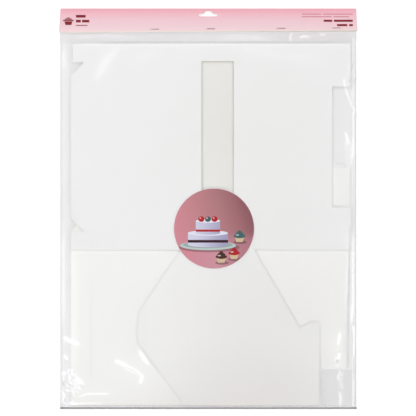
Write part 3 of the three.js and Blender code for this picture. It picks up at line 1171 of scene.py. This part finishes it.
    def front(
        self,
        points: np.ndarray,
        levels: np.ndarray,
    ) -> tuple[np.ndarray, np.ndarray, np.ndarray]:
        """Works out the front film.

        Args:
            points: Places across and up the pack.
            levels: Levels of the drape on the raster.

        Returns:
            Levels of the film's outer face, its painted glow and its painted shade at each point.
        """
        mouth = self.mouth_share(points[:, 1])
        back = self.mouth_base * mouth
        low, high = np.array(self.carton.low)[:2], np.array(self.carton.high)[:2]
        over = np.clip(points, low, high)
        body = self.sampled(levels, over) + self.clearance - self.film
        filled = body + (self.mouth_cavity - body) * mouth
        risen = self.edges(points)
        cavity = self.weld_cavity + (filled - self.weld_cavity) * risen
        loose = self.clear_of_sticker(points)
        height = back + 2 * self.film + cavity + self.waves(points) * risen * (1 - mouth) * loose
        relief = np.zeros(len(points))
        haze_and_glow = np.zeros(len(points))
        shade = np.zeros(len(points))
        for crease in self.every_crease():
            corners = np.array(crease.path)
            wide = max(crease.left, crease.right)
            inside = np.all((points > corners.min(0) - wide) & (points < corners.max(0) + wide), axis=1)
            if inside.any():
                share = crease.profile(points[inside])
                relief[inside] = np.maximum(relief[inside], share * crease.rise)
                marked = ease(share * self.mark_gain)
                haze_and_glow[inside] = np.maximum(haze_and_glow[inside], marked * crease.haze_and_glow)
                shade[inside] = np.maximum(shade[inside], marked * crease.shade)
        for dim in self.dims:
            held = dim.profile(points)
            shade = np.maximum(shade, held * dim.shade)
            haze_and_glow = np.maximum(haze_and_glow, held * dim.haze_and_glow)
        return height + relief * loose, haze_and_glow * loose, shade * loose

    def sheet(
        self,
        name: str,
        lines_x: np.ndarray,
        lines_y: np.ndarray,
        upper: np.ndarray,
        lower: np.ndarray,
    ) -> bpy.types.Object:
        """Makes a closed thin film between two levels over a grid.

        Args:
            name: Name of the piece.
            lines_x: Grid lines across the pack.
            lines_y: Grid lines up the pack.
            upper: Level of the upper face at each crossing, row by row.
            lower: Level of the lower face at each crossing.

        Returns:
            The new object, with its place in its mesh.
        """
        columns, rows = len(lines_x), len(lines_y)
        crossings = self.crossings(lines_x, lines_y)
        vertices = np.concatenate([
            np.column_stack([crossings, upper]),
            np.column_stack([crossings, lower]),
        ]) * MM
        index = np.arange(columns * rows).reshape(rows, columns)
        a, b = index[:-1, :-1].ravel(), index[:-1, 1:].ravel()
        c, d = index[1:, 1:].ravel(), index[1:, :-1].ravel()
        under = columns * rows
        top = np.column_stack([a, b, c, d])
        bottom = np.column_stack([a, d, c, b]) + under
        ring = np.array([*index[0, :], *index[1:, -1], *index[-1, -2::-1], *index[-2:0:-1, 0]])
        after = np.roll(ring, -1)
        walls = np.column_stack([ring + under, after + under, after, ring])
        faces = np.concatenate([top, bottom, walls])
        mesh = bpy.data.meshes.new(name)
        mesh.from_pydata(vertices.tolist(), [], faces.tolist())
        mesh.shade_smooth()
        return put(name, mesh)

    @staticmethod
    def dress(piece: bpy.types.Object, tint: Colour, haze_and_glow: np.ndarray, shade: np.ndarray) -> None:
        """Gives a film its finish, and stores its painted glow and painted shade on both of its faces.

        Args:
            piece: The film.
            tint: Share of light that one face lets through.
            haze_and_glow: How far the painted glow whitens it at each crossing.
            shade: How far painted shade greys it at each crossing.
        """
        for name, values in ((HAZE_AND_GLOW, haze_and_glow), (SHADE, shade)):
            stored = piece.data.attributes.new(name, "FLOAT", "POINT")
            stored.data.foreach_set("value", np.tile(values, 2).astype(np.float32))
        piece.data.materials.append(FilmFinish(piece.name + "_film", tint).material())
        stand_for_bag(piece)

    def build(self, nodes: Mapping[str, bpy.types.Object]) -> list[bpy.types.Object]:
        """Makes both films.

        Args:
            nodes: CAD nodes by name.

        Returns:
            The pieces.
        """
        low, high = self.outer.low, self.outer.high
        fine, medium, coarse = 1.5, 2.1, 5.0
        front_x = self.lines([
            (low.x, 1.0), (low.x + 6, fine), (-198, coarse), (-158, medium), (-36, coarse),
            (130, medium), (172, coarse), (200, fine), (high.x - 12, 1.1),
        ], high.x)
        front_y = self.lines([
            (low.y, 0.8), (low.y + 8, 1.6), (-200, coarse), (66, 2.8), (220, coarse), (268, fine),
        ], high.y)
        levels = self.drape(self.support(nodes))
        upper, haze_and_glow, shade = self.front(self.crossings(front_x, front_y), levels)
        front = self.sheet("bag_front", front_x, front_y, upper, upper - self.film)
        self.dress(front, self.front_tint, haze_and_glow, shade)

        back_x = self.lines([(low.x, 1.5), (low.x + 6, 8.0), (high.x - 6, 1.5)], high.x)
        back_y = self.lines([(low.y, 1.5), (low.y + 6, 8.0), (268, 2.0)], high.y)
        base = self.mouth_base * self.mouth_share(self.crossings(back_x, back_y)[:, 1])
        back = self.sheet("bag_back", back_x, back_y, base + self.film, base)
        self.dress(back, self.back_tint_and_shade, np.zeros(len(base)), np.zeros(len(base)))
        return [front, back]


class Nodes(Tree):
    """A Geometry Nodes tree while it is made, with named inputs for its sizes."""

    def __init__(self, name: str, inputs: Mapping[str, tuple[str, Any]]) -> None:
        """Starts a tree.

        Args:
            name: Name of the tree.
            inputs: Name of each input with its socket type and its value.
        """
        super().__init__(bpy.data.node_groups.new(name, "GeometryNodeTree"))
        sockets = self.tree.interface
        self.values: dict[str, Any] = {}
        for label, (kind, value) in inputs.items():
            socket = sockets.new_socket(name=label, in_out="INPUT", socket_type=kind)
            self.values[socket.identifier] = value
        sockets.new_socket(name="Geometry", in_out="OUTPUT", socket_type="NodeSocketGeometry")
        self.given = self.node("NodeGroupInput").outputs

    def piece(
        self,
        name: str,
        geometry: bpy.types.NodeSocket,
        material: bpy.types.Material,
    ) -> bpy.types.Object:
        """Ends the tree and turns what it makes into a plain mesh.

        Args:
            name: Name of the piece.
            geometry: What the tree makes, which may hold instances.
            material: Material of the piece.

        Returns:
            The piece, with no modifier left on it.
        """
        real = self.node("GeometryNodeRealizeInstances", inputs={0: geometry})
        dressed = self.node(
            "GeometryNodeSetMaterial",
            inputs={"Geometry": real.outputs[0], "Material": material},
        )
        self.node("NodeGroupOutput", inputs={0: dressed.outputs[0]})
        made = put(name, bpy.data.meshes.new(name + "_start"))
        modifier = made.modifiers.new(name, "NODES")
        modifier.node_group = self.tree
        for identifier, value in self.values.items():
            modifier[identifier] = value
        evaluated = made.evaluated_get(bpy.context.evaluated_depsgraph_get())
        mesh = bpy.data.meshes.new_from_object(evaluated)
        made.modifiers.clear()
        made.data = mesh
        if not mesh.materials:
            mesh.materials.append(material)
        return made


@dataclass
class WeldDots:
    """Rows of small pressed dots along a side weld of the bag.

    Attributes:
        radius: Radius of a dot.
        height: Half its height.
        pitch: Distance between dots along the weld.
        rows_apart: Distance between the two rows.
        level: Level of the weld's upper face.
        inset: Distance of the rows' middle from the bag's side.
        ends: Bare length at each end of the weld.
        tint: Share of light that one face of a dot lets through.
        glare: Share that a dot mirrors when it is looked at straight on.
    """

    radius: float = 0.55
    height: float = 0.14
    pitch: float = 4.0
    rows_apart: float = 1.6
    level: float = 0.6
    inset: float = 1.6
    ends: float = 8.0
    tint: Colour = (0.975, 0.975, 0.978, 1.0)
    glare: float = 0.05

    def build(self, name: str, side: float) -> bpy.types.Object:
        """Makes the dots of one weld.

        Args:
            name: Name of the piece.
            side: -1 for the left weld and 1 for the right one.

        Returns:
            The piece.
        """
        bag = Extent.of("clear_bag")
        length = bag.high.y - bag.low.y - 2 * self.ends
        edge = bag.high.x if side > 0 else bag.low.x
        place = Vector((edge - side * self.inset, bag.middle.y, self.level)) * MM
        tree = Nodes(name, {
            "Dot radius": ("NodeSocketFloat", self.radius * MM),
            "Flatness": ("NodeSocketFloat", self.height / self.radius),
            "Rows apart": ("NodeSocketFloat", self.rows_apart * MM),
            "Length": ("NodeSocketFloat", length * MM),
            "Count": ("NodeSocketInt", round(length / self.pitch)),
        })
        grid = tree.node("GeometryNodeMeshGrid", inputs={
            "Size X": tree.given["Rows apart"],
            "Size Y": tree.given["Length"],
            "Vertices X": 2,
            "Vertices Y": tree.given["Count"],
        })
        ball = tree.node("GeometryNodeMeshIcoSphere", inputs={
            "Radius": tree.given["Dot radius"],
            "Subdivisions": 1,
        })
        flat = tree.node("ShaderNodeCombineXYZ", inputs={0: 1.0, 1: 1.0, 2: tree.given["Flatness"]})
        dots = tree.node("GeometryNodeInstanceOnPoints", inputs={
            "Points": grid.outputs["Mesh"],
            "Instance": ball.outputs["Mesh"],
            "Scale": flat.outputs[0],
        })
        moved = tree.node("GeometryNodeTransform", inputs={
            "Geometry": dots.outputs[0],
            "Translation": place,
        })
        film = FilmFinish(name + "_film", self.tint, glare=self.glare)
        made = tree.piece(name, moved.outputs[0], film.material())
        stand_for_bag(made)
        return made


@dataclass
class HeaderCard:
    """Pink card folded over the mouth of the bag.

    Attributes:
        node: Name of its CAD node.
        motif_in: Distance of the cupcake from the left edge and from the fold.
    """

    node: str = "header_card"
    motif_in: Point = (15.5, 20.5)

    def rows(self, left: float, right: float) -> tuple[BarRow, ...]:
        """Lays out the bars from the card's left and right edge."""
        return (
            BarRow(13.0, 4.4, Ink.DARK_RED, ((left + 28, left + 44),)),
            BarRow(21.0, 4.4, Ink.DARK_RED, ((left + 28, left + 36), (left + 38, left + 50))),
            BarRow(28.0, 1.4, Ink.DARK_RED, ((left + 28, left + 47),)),
            BarRow(9.4, 1.2, Ink.ROSE, ((right - 92, right - 60), (right - 57, right - 8))),
            BarRow(13.8, 1.2, Ink.ROSE, ((right - 92, right - 43), (right - 40, right - 14))),
            BarRow(20.4, 3.6, Ink.DARK_RED, ((right - 56, right - 42), (right - 39, right - 8))),
            BarRow(27.6, 3.6, Ink.DARK_RED, ((right - 34, right - 17), (right - 14, right - 8))),
        )

    def dress(self, nodes: Mapping[str, bpy.types.Object]) -> None:
        """Gives the card its printed finish."""
        box = Extent.of(self.node)
        finish = HeaderFinish(
            fold=box.high.y,
            rows=self.rows(box.low.x, box.high.x),
            motif=(box.low.x + self.motif_in[0], box.high.y - self.motif_in[1]),
        )
        paint_node(nodes[self.node], finish.material())


@dataclass
class Boards:
    """The carton, its window pane and the loose cupcake tray.

    Attributes:
        pane_margin: How far the pane reaches past the window.
        tray_white: Colour of the tray.
        painted_shades: Broad patches of painted shade on the carton.
    """

    pane_margin: float = 8.0
    tray_white: Colour = srgb(246, 246, 244)
    painted_shades: tuple[PaintedLightPatch, ...] = (
        PaintedLightPatch((80, 120), (260, 240), 0.08),
        PaintedLightPatch((110, -150), (230, 220), 0.10),
        PaintedLightPatch((30, -215), (190, 170), 0.08),
        PaintedLightPatch((-70, -330), (280, 45), 0.13),
        PaintedLightPatch((150, -325), (150, 130), 0.13),
        PaintedLightPatch((-100, -170), (110, 120), 0.045),
        PaintedLightPatch((170, -160), (110, 110), 0.04),
        PaintedLightPatch((50, -320), (210, 130), 0.22),
    )

    def dress(self, nodes: Mapping[str, bpy.types.Object]) -> None:
        """Gives the boards and the pane their finishes."""
        pane = Extent.of("window_pane")
        half = (pane.high - pane.low) / 2
        window = Window(
            middle=(pane.middle.x, pane.middle.y),
            half=(half.x - self.pane_margin, half.y - self.pane_margin),
        )
        carton = BoardFinish("white_board", painted_shades=self.painted_shades)
        paint_node(nodes["carton"], carton.material(window))
        tray = BoardFinish("tray_board", outside=self.tray_white, inside_below=0.0)
        paint_node(nodes["cupcake_tray"], tray.material())
        paint_node(nodes["window_pane"], PaneFinish().material())


@dataclass
class SmallParts:
    """The round sticker and the staples.

    Attributes:
        sticker: Name of the sticker's CAD node.
        staple_prefix: Start of the name of each staple's.
    """

    sticker: str = "round_sticker"
    staple_prefix: str = "staple_"

    def dress(self, nodes: Mapping[str, bpy.types.Object]) -> None:
        """Gives the sticker its print and the staples their steel."""
        box = Extent.of(self.sticker)
        label = StickerFinish((box.middle.x, box.middle.y), (box.high.x - box.low.x) / 2)
        paint_node(nodes[self.sticker], label.material())
        steel = WireFinish().material()
        for name, node in nodes.items():
            if name.startswith(self.staple_prefix):
                paint_node(node, steel)


@dataclass(frozen=True)
class Softbox:
    """One soft lamp that faces the pack.

    Attributes:
        name: Name of the lamp.
        turn: Direction it stands in, in degrees from +X towards +Y.
        lean: Angle from straight overhead, in degrees.
        distance: Distance from the pack, in metres.
        size: Width and height, in metres.
        radiance: How bright its face is, where 1 is white.
        mirrored: Whether glossy faces mirror it.
    """

    name: str
    turn: float
    lean: float
    distance: float
    size: Point
    radiance: float
    mirrored: bool = True

    def place(self) -> None:
        """Adds the lamp to the scene."""
        lamp = bpy.data.lights.new(self.name, "AREA")
        lamp.shape = "RECTANGLE"
        lamp.size, lamp.size_y = self.size
        lamp.energy = math.pi * self.radiance * self.size[0] * self.size[1]
        made = put(self.name, lamp)
        turn, lean = math.radians(self.turn), math.radians(self.lean)
        level = math.sin(lean)
        away = Vector((math.cos(turn) * level, math.sin(turn) * level, math.cos(lean)))
        made.location = away * self.distance
        made.rotation_mode = "QUATERNION"
        made.rotation_quaternion = away.to_track_quat("Z", "Y")
        made.visible_camera = False
        made.visible_glossy = self.mirrored


@dataclass
class Studio:
    """Pale floor, soft lamps, plain world and the camera that looks straight down.

    Attributes:
        lens: Lens of the camera.
        sensor: Width of its sensor.
        view_width: Width of the view at the pack's middle.
        aim: Point that the camera looks at.
        floor_drop: How far the floor lies below the pack.
        floor_size: Width of the floor, in metres.
        floor_grey: Colour of the floor.
        floor_glow: Light added where the floor is seen.
        ambient: Light of the world on what is matt.
        overhead: Light of the world straight above, for what mirrors it.
        overhead_rise: Heights in the world between which it dims to that.
        transparent_layers: Clear faces that one ray may pass.
        ring_count: Number of lamps in the ring.
        ring_lean: Angle of the ring from straight overhead, in degrees.
        ring_distance: Distance of its lamps, in metres.
        ring_size: Width and height of each lamp, in metres.
        ring_radiance: How bright each is.
        ring_lift: How much brighter it is towards the key side, as a share.
        ring_key: Direction of the key side, in degrees from +X towards +Y.
        sky: Lamp overhead.
    """

    lens: float = 100.0
    sensor: float = 36.0
    view_width: float = 686.4
    aim: Point = (-0.5, 1.7)
    floor_drop: float = 0.3
    floor_size: float = 12.0
    floor_grey: Colour = srgb(232, 232, 232)
    floor_glow: float = 0.42
    ambient: float = 0.30
    overhead: float = 0.30
    overhead_rise: Point = (0.15, 0.9)
    transparent_layers: int = 32
    ring_count: int = 8
    ring_lean: float = 54.0
    ring_distance: float = 2.2
    ring_size: Point = (1.4, 0.46)
    ring_radiance: float = 2.6
    ring_lift: float = 0.12
    ring_key: float = 140.0
    sky: Softbox = Softbox(
        "softbox_overhead",
        turn=120,
        lean=8,
        distance=1.7,
        size=(1.3, 1.3),
        radiance=1.6,
        mirrored=False,
    )

    def floor(self) -> None:
        """Makes the floor, whose material shows white and keeps the pack's shadow."""
        half = self.floor_size / 2
        down = -self.floor_drop * MM
        corners = [(-half, -half, down), (half, -half, down), (half, half, down), (-half, half, down)]
        mesh = bpy.data.meshes.new("floor")
        mesh.from_pydata(corners, [], [(0, 1, 2, 3)])
        paint = Paint("floor")
        matt = paint.node("ShaderNodeBsdfDiffuse", inputs={0: self.floor_grey}).outputs[0]
        light = {0: WHITE, "Strength": self.floor_glow}
        glow = paint.node("ShaderNodeEmission", inputs=light).outputs[0]
        both = paint.node("ShaderNodeAddShader", inputs={0: matt, 1: glow}).outputs[0]
        seen = paint.rays("Camera", "Glossy", "Transmission")
        mesh.materials.append(paint.done(paint.mixed(seen, matt, both)))
        put("floor", mesh)

    def world(self) -> None:
        """Makes a plain world: white to the camera, and dimmer overhead to what mirrors it."""
        made = bpy.data.worlds.new("studio")
        made.use_nodes = True
        bpy.context.scene.world = made
        tree = Tree(made.node_tree)
        direction = tree.node("ShaderNodeTexCoord").outputs["Generated"]
        height = tree.signal("ShaderNodeSeparateXYZ", inputs={0: direction}, output="Z")
        mirrored = 1 - tree.rise(height, *self.overhead_rise) * (1 - self.overhead)
        plain = tree.rays("Glossy") * (mirrored - self.ambient) + self.ambient
        strength = tree.rays("Camera", "Transmission") * (1 - plain) + plain
        light = tree.node("ShaderNodeBackground", inputs={0: WHITE, 1: strength})
        tree.node("ShaderNodeOutputWorld", inputs={0: light.outputs[0]})

    def camera(self) -> None:
        """Makes the camera, straight above the pack with the header card at the top."""
        data = bpy.data.cameras.new("camera")
        data.lens = self.lens
        data.sensor_width = self.sensor
        made = put("camera", data)
        distance = self.view_width * self.lens / self.sensor
        made.location = Vector((self.aim[0], self.aim[1], distance)) * MM
        bpy.context.scene.camera = made

    def ring(self) -> list[Softbox]:
        """Gives the ring of softboxes, a little brighter towards the key side."""
        made = []
        for number in range(self.ring_count):
            turn = 360 * number / self.ring_count
            lift = self.ring_lift * math.cos(math.radians(turn - self.ring_key))
            made.append(Softbox(
                f"softbox_{number + 1}",
                turn,
                self.ring_lean,
                self.ring_distance,
                self.ring_size,
                self.ring_radiance * (1 + lift),
            ))
        return made

    def build(self) -> None:
        """Builds the whole studio."""
        scene = bpy.context.scene
        scene.view_settings.view_transform = "Standard"
        scene.cycles.transparent_max_bounces = self.transparent_layers
        self.floor()
        self.world()
        self.camera()
        self.sky.place()
        for lamp in self.ring():
            lamp.place()


def film_creases() -> list[Crease]:
    """Gives the creases that the film holds, each at its place on the pack."""
    return [
        # Lower left corner and the notch of the gable.
        Crease(((-241, -206), (-226, -216.5), (-208, -223.5)), 2.4, 5.0, 1.8, 0.9, taper=0.35),
        Crease(((-238.5, -239), (-229, -249)), 1.8, 2.8, 1.25, 0.9, taper=0.3),
        Crease(((-155, -248.5), (-145, -252), (-133, -258)), 2.2, 4.8, 1.8, 0.95, taper=0.2),
        Crease(((-137, -256), (-120, -264.5), (-106.5, -273.5)), 1.2, 1.8, 0.7, 0.8, taper=0.12),
        Crease(((-140, -261), (-122, -269), (-109, -276)), 1.2, 1.6, 0.6, 0.6, taper=0.12),
        Crease(((-107, -273), (-110, -281), (-112, -289)), 2.2, 4.0, 2.0, 0.95),
        Crease(((-115, -231), (-106, -244), (-97, -258)), 2.4, 4.8, 1.9, 0.7),
        Crease(((-217, -310), (-200, -304.3), (-159, -304.2)), 1.3, 1.6, 0.7, 0.8, taper=0.15),
        Crease(((-234, -318), (-222, -321), (-212, -321)), 2.2, 3.0, 0.6, 0.9, taper=0.25),
        Crease(((-232, -319), (-205, -320), (-168, -320)), 1.4, 2.0, 0.5, 0.5, taper=0.3),
        Crease(((-229, -265), (-216, -280), (-203, -291)), 4.0, 7.0, 2.2, 0.9, taper=0.3),
        Crease(((-231, -278), (-222, -288), (-206, -293.5)), 2.0, 4.0, 1.4, 0.9, taper=0.3),
        # Upper right side.
        Crease(((223, 217), (224, 204), (232, 180), (243, 157)), 2.0, 1.6, 0.75, 0.9, taper=0.12),
        # Slack strip below the header card.
        Crease(((138, 291), (135.5, 284), (135, 275.5)), 1.8, 2.6, 1.2, 0.95, taper=0.08),
        Crease(((148, 283), (159, 284.6), (170, 283.6)), 1.8, 3.4, 1.1, 0.95),
        Crease(((182, 287.6), (187, 288.2), (192, 286.4)), 3.0, 4.2, 1.4, 1.0),
        Crease(((66, 284), (84, 281), (94, 279.6)), 3.4, 3.4, 0.4, 0.45, taper=0.4),
        Crease(((-176, 287), (-162, 285.5)), 2.4, 2.6, 0.3, 0.5, taper=0.3),
        Crease(((-226, 281), (-190, 285), (-170, 281)), 2.4, 2.6, 0.3, 0.3, taper=0.4),
        Crease(((-130, 279), (-118, 285)), 2.4, 2.4, 0.3, 0.35, taper=0.4),
        Crease(((-100, 287), (-60, 286), (-20, 288)), 3.0, 3.0, 0.0, 0.0, 0.03, taper=0.4),
        Crease(((96, 287), (118, 284), (130, 286)), 3.4, 3.4, 0.0, 0.0, 0.035, taper=0.4),
        Crease(((196, 285), (214, 283), (228, 286)), 3.0, 3.0, 0.0, 0.0, 0.03, taper=0.4),
        # Painted shade line and painted highlight along the sloped edge of the gable.
        Crease(((-112.5, -224), (-70, -281.5), (-40, -321.7)), 1.6, 1.8, 0.0, 0.0, 0.024, taper=0.1),
        Crease(((-117, -228), (-74.5, -283), (-45, -322)), 1.8, 2.0, 0.0, 0.2, taper=0.1),
        # Slack strip again, fainter.
        Crease(((26, 283), (50, 285), (62, 282)), 5.0, 4.0, 0.5, 0.2, taper=0.4),
        Crease(((-160, 284), (-150, 285)), 2.4, 2.4, 0.8, 0.3),
        # Cut-out at the right.
        Crease(((224, 128), (228, 121), (230.5, 111), (230, 104)), 2.4, 2.4, 0.6, 1.0, taper=0.15),
        Crease(((226, 118), (226.2, 96)), 1.6, 1.6, 0.2, 0.4, taper=0.2),
        Crease(((235, 116), (235.4, 90), (234.6, 68)), 1.8, 1.8, 0.3, 0.45, taper=0.2),
        Crease(((209.5, 75.8), (229.5, 71.5)), 2.2, 2.2, 0.0, 0.0, 0.028, taper=0.2),
        # Right side, down to the lower right corner.
        Crease(((230.8, -30), (229.5, -80), (224.8, -162)), 1.6, 1.8, 0.3, 0.4, taper=0.1),
        Crease(((239.9, -190), (239.6, -225), (238.6, -248)), 2.2, 1.6, 0.7, 0.9, taper=0.2),
        Crease(((237.6, -150), (236.3, -175), (235.4, -191)), 3.0, 2.0, 1.0, 0.9, taper=0.3),
        Crease(((217.5, -201), (215.3, -210), (213.2, -226)), 3.0, 2.4, 1.3, 1.0, taper=0.3),
        Crease(((213.5, -236), (216, -241), (212.5, -249)), 3.2, 2.4, 1.2, 0.9),
        Crease(((210.5, -243), (209.5, -252)), 2.2, 2.0, 0.8, 0.7),
        Crease(((209, -262), (222, -263.5)), 1.8, 2.0, 0.4, 0.5, 0.05, taper=0.3),
        Crease(((214, -264), (216.5, -270), (213, -278), (217.5, -284)), 2.2, 2.6, 1.0, 0.9, taper=0.2),
        Crease(((218, -274), (220, -282), (216, -289)), 2.0, 2.2, 0.6, 0.5, 0.05, taper=0.2),
        Crease(((200, -300), (206, -284), (207, -270)), 5.0, 5.0, 0.3, 0.0, 0.02, taper=0.4),
        Crease(((216, -299), (217.8, -311), (217, -325.5)), 2.8, 2.6, 0.9, 1.0, taper=0.2),
        Crease(((225, -20), (225.4, -120), (224, -230)), 1.6, 1.6, 0.1, 0.12, taper=0.2),
        # Painted shade lines at the upper notch at the left, and painted shade and highlight lines on
        # the left side.
        Crease(((-225, 220), (-204, 243.5)), 1.2, 1.2, 0.0, 0.0, 0.025, taper=0.1),
        Crease(((-222, 245), (-204, 245)), 1.2, 1.2, 0.0, 0.0, 0.03, taper=0.1),
        Crease(((-192, -100), (-192, -200), (-192, -300)), 1.6, 1.6, 0.0, 0.0, 0.012, taper=0.2),
        Crease(((-190, -90), (-190, -200), (-190, -310)), 1.2, 1.2, 0.0, 0.08, taper=0.2),
        # Low creases above the bottom weld, with painted highlight lines.
        Crease(((-150, -306), (-60, -307), (60, -306)), 1.6, 1.6, 0.1, 0.10, taper=0.3),
        Crease(((-190, -309), (-120, -310), (-70, -309)), 1.2, 1.2, 0.1, 0.10, taper=0.3),
        Crease(((-180, -314), (-110, -315), (40, -314)), 1.2, 1.2, 0.1, 0.08, taper=0.3),
        # Broad soft waves.
        Crease(((-140, 270), (-168, 244), (-188, 205)), 7.0, 9.0, 0.25, 0.2, taper=0.3),
        Crease(((-70, 264), (-110, 250), (-130, 236)), 6.0, 6.0, 0.2, 0.12, taper=0.4),
        Crease(((40, 268), (120, 252), (200, 246)), 8.0, 8.0, 0.2, 0.10, taper=0.3),
        Crease(((-226, -62), (-224, -120), (-226, -190)), 12.0, 12.0, 0.3, 0.12, taper=0.3),
    ]


def film_crumples() -> list[Crumple]:
    """Gives the patches where the film is crumpled."""
    return [
        Crumple((-243, -322), (-220, -262), 26, (7, 20), (0.9, 2.1), 1.0, 4, lean=-60, sway=60),
        Crumple((-242, -300), (-210, -266), 5, (12, 26), (1.2, 2.0), 1.0, 9, lean=-40, sway=20),
        Crumple((210, -325), (220, -232), 11, (6, 16), (0.6, 1.5), 0.9, 12, lean=85, sway=30),
        Crumple((232, 195), (243, 250), 5, (6, 14), (0.4, 0.9), 0.4, 21, lean=85, sway=20),
    ]


def film_dims() -> list[Dim]:
    """Gives the places where the film is greyed or whitened."""
    return [
        # Painted shade on the bottom weld, and on the strip below the header card.
        Dim((-245, -329.8), (245, -326.9), shade=0.62, soft=(0.5, 0.9)),
        Dim((-130, -324.8), (244, -323.4), shade=0.025, soft=(40, 1.0)),
        Dim((-245, 273), (245, 292), shade=0.03, soft=(2, 2.0)),
        Dim((100, 273), (245, 292), shade=0.055, soft=(60, 2.0)),
        # Painted shade at the right, and painted light along the carton's left side and its step, which
        # lightens their edge shadows.
        Dim((236, -325), (243, 180), shade=0.022, soft=(1.5, 20)),
        Dim((-230, -262), (-215, -70), haze_and_glow=0.14, soft=(6, 30)),
        Dim((-229.5, -262), (-225.5, -70), haze_and_glow=0.25, soft=(1.6, 20)),
        Dim((-226, -69.4), (-62, -65.8), haze_and_glow=0.42, soft=(10, 1.2)),
        Dim((72, -69.4), (232, -65.8), haze_and_glow=0.42, soft=(10, 1.2)),
        # Mouth, beside the header card: a painted shade line above the carton's top edge, and painted
        # light under the card, on the slack strip and along that edge.
        Dim((-180, 273.6), (228, 276.2), shade=0.08, soft=(60, 1.2)),
        Dim((-245, 290.5), (246, 296), haze_and_glow=0.55, soft=(2, 1.6)),
        Dim((-245, 284), (-130, 290), haze_and_glow=0.2, soft=(30, 3)),
        Dim((24, 279), (68, 287), haze_and_glow=0.25, soft=(8, 4)),
        Dim((-216, 269.6), (228, 272.6), haze_and_glow=0.35, soft=(20, 1.4)),
        # Cut-out and lower corner at the right: painted light on the cut-out and its edge, and painted
        # shade in the corner pocket.
        Dim((226, 68), (235.5, 114), haze_and_glow=0.16, soft=(2, 5)),
        Dim((204.8, 0), (207.8, 76), haze_and_glow=0.3, soft=(1.4, 6)),
        Dim((204.8, 76), (207.8, 180), haze_and_glow=0.14, soft=(1.4, 6)),
        Dim((209, 69), (232, 73), haze_and_glow=0.1, soft=(2, 2)),
        Dim((183.4, -325), (243, -265), shade=0.04, soft=(1.4, 2)),
        Dim((183.8, -325), (186.2, -266), shade=0.07, soft=(1.2, 2)),
        Dim((184, -325), (196, -290), shade=0.05, soft=(8, 12)),
        # Left weld and the film beside it: painted shade and highlight lines at the weld, painted light
        # beside it, and a painted shade line at the carton's upper left edge.
        Dim((-245.2, -325), (-244.2, 290), shade=0.10, soft=(0.8, 4)),
        Dim((-243.8, -325), (-242.6, 290), haze_and_glow=0.5, soft=(0.8, 30)),
        Dim((-242.2, -325), (-241, 290), shade=0.05, soft=(0.8, 30)),
        Dim((-243.4, -320), (-228, 285), haze_and_glow=0.12, soft=(1.6, 8)),
        Dim((-243.4, -190), (-236, -42), haze_and_glow=0.45, soft=(1.6, 50)),
        Dim((-242, 232), (-234, 262), haze_and_glow=0.4, soft=(4, 12)),
        Dim((-225.4, 243), (-223.4, 268), shade=0.06, soft=(1.2, 4)),
        # Painted shade on the pane, and painted shade and painted light along the right side and its
        # weld.
        Dim((-9, 60), (40, 242), shade=0.006, soft=(1, 90)),
        Dim((233.9, 203), (236.3, 272), shade=0.055, soft=(1.0, 4)),
        Dim((230.2, 205), (232.6, 270), haze_and_glow=0.15, soft=(1.4, 6)),
        Dim((230.6, -150), (233.4, -30), shade=0.05, soft=(1.2, 12)),
        Dim((229.6, -262), (232.2, -140), shade=0.055, soft=(1.2, 12)),
        Dim((236.4, -170), (240.2, -40), haze_and_glow=0.8, soft=(1.4, 20)),
        Dim((241.8, -325), (243.6, 290), shade=0.06, soft=(1.0, 10)),
    ]


def main() -> None:
    """Builds the pack's looks around the frame and reports each piece."""
    logging.basicConfig(level=logging.INFO, format="%(message)s")
    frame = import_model()
    nodes = frame["nodes"]

    for part in (HeaderCard(), Boards(), SmallParts()):
        part.dress(nodes)
        log.info("%s dressed", type(part).__name__)
    pieces = Bag(film_creases(), film_crumples(), film_dims()).build(nodes)
    for name, side in (("weld_dots_left", -1.0), ("weld_dots_right", 1.0)):
        pieces.append(WeldDots().build(name, side))
    for piece in pieces:
        log.info("%s built, %d faces", piece.name, len(piece.data.polygons))
    Studio().build()


if __name__ == "__main__":
    main()
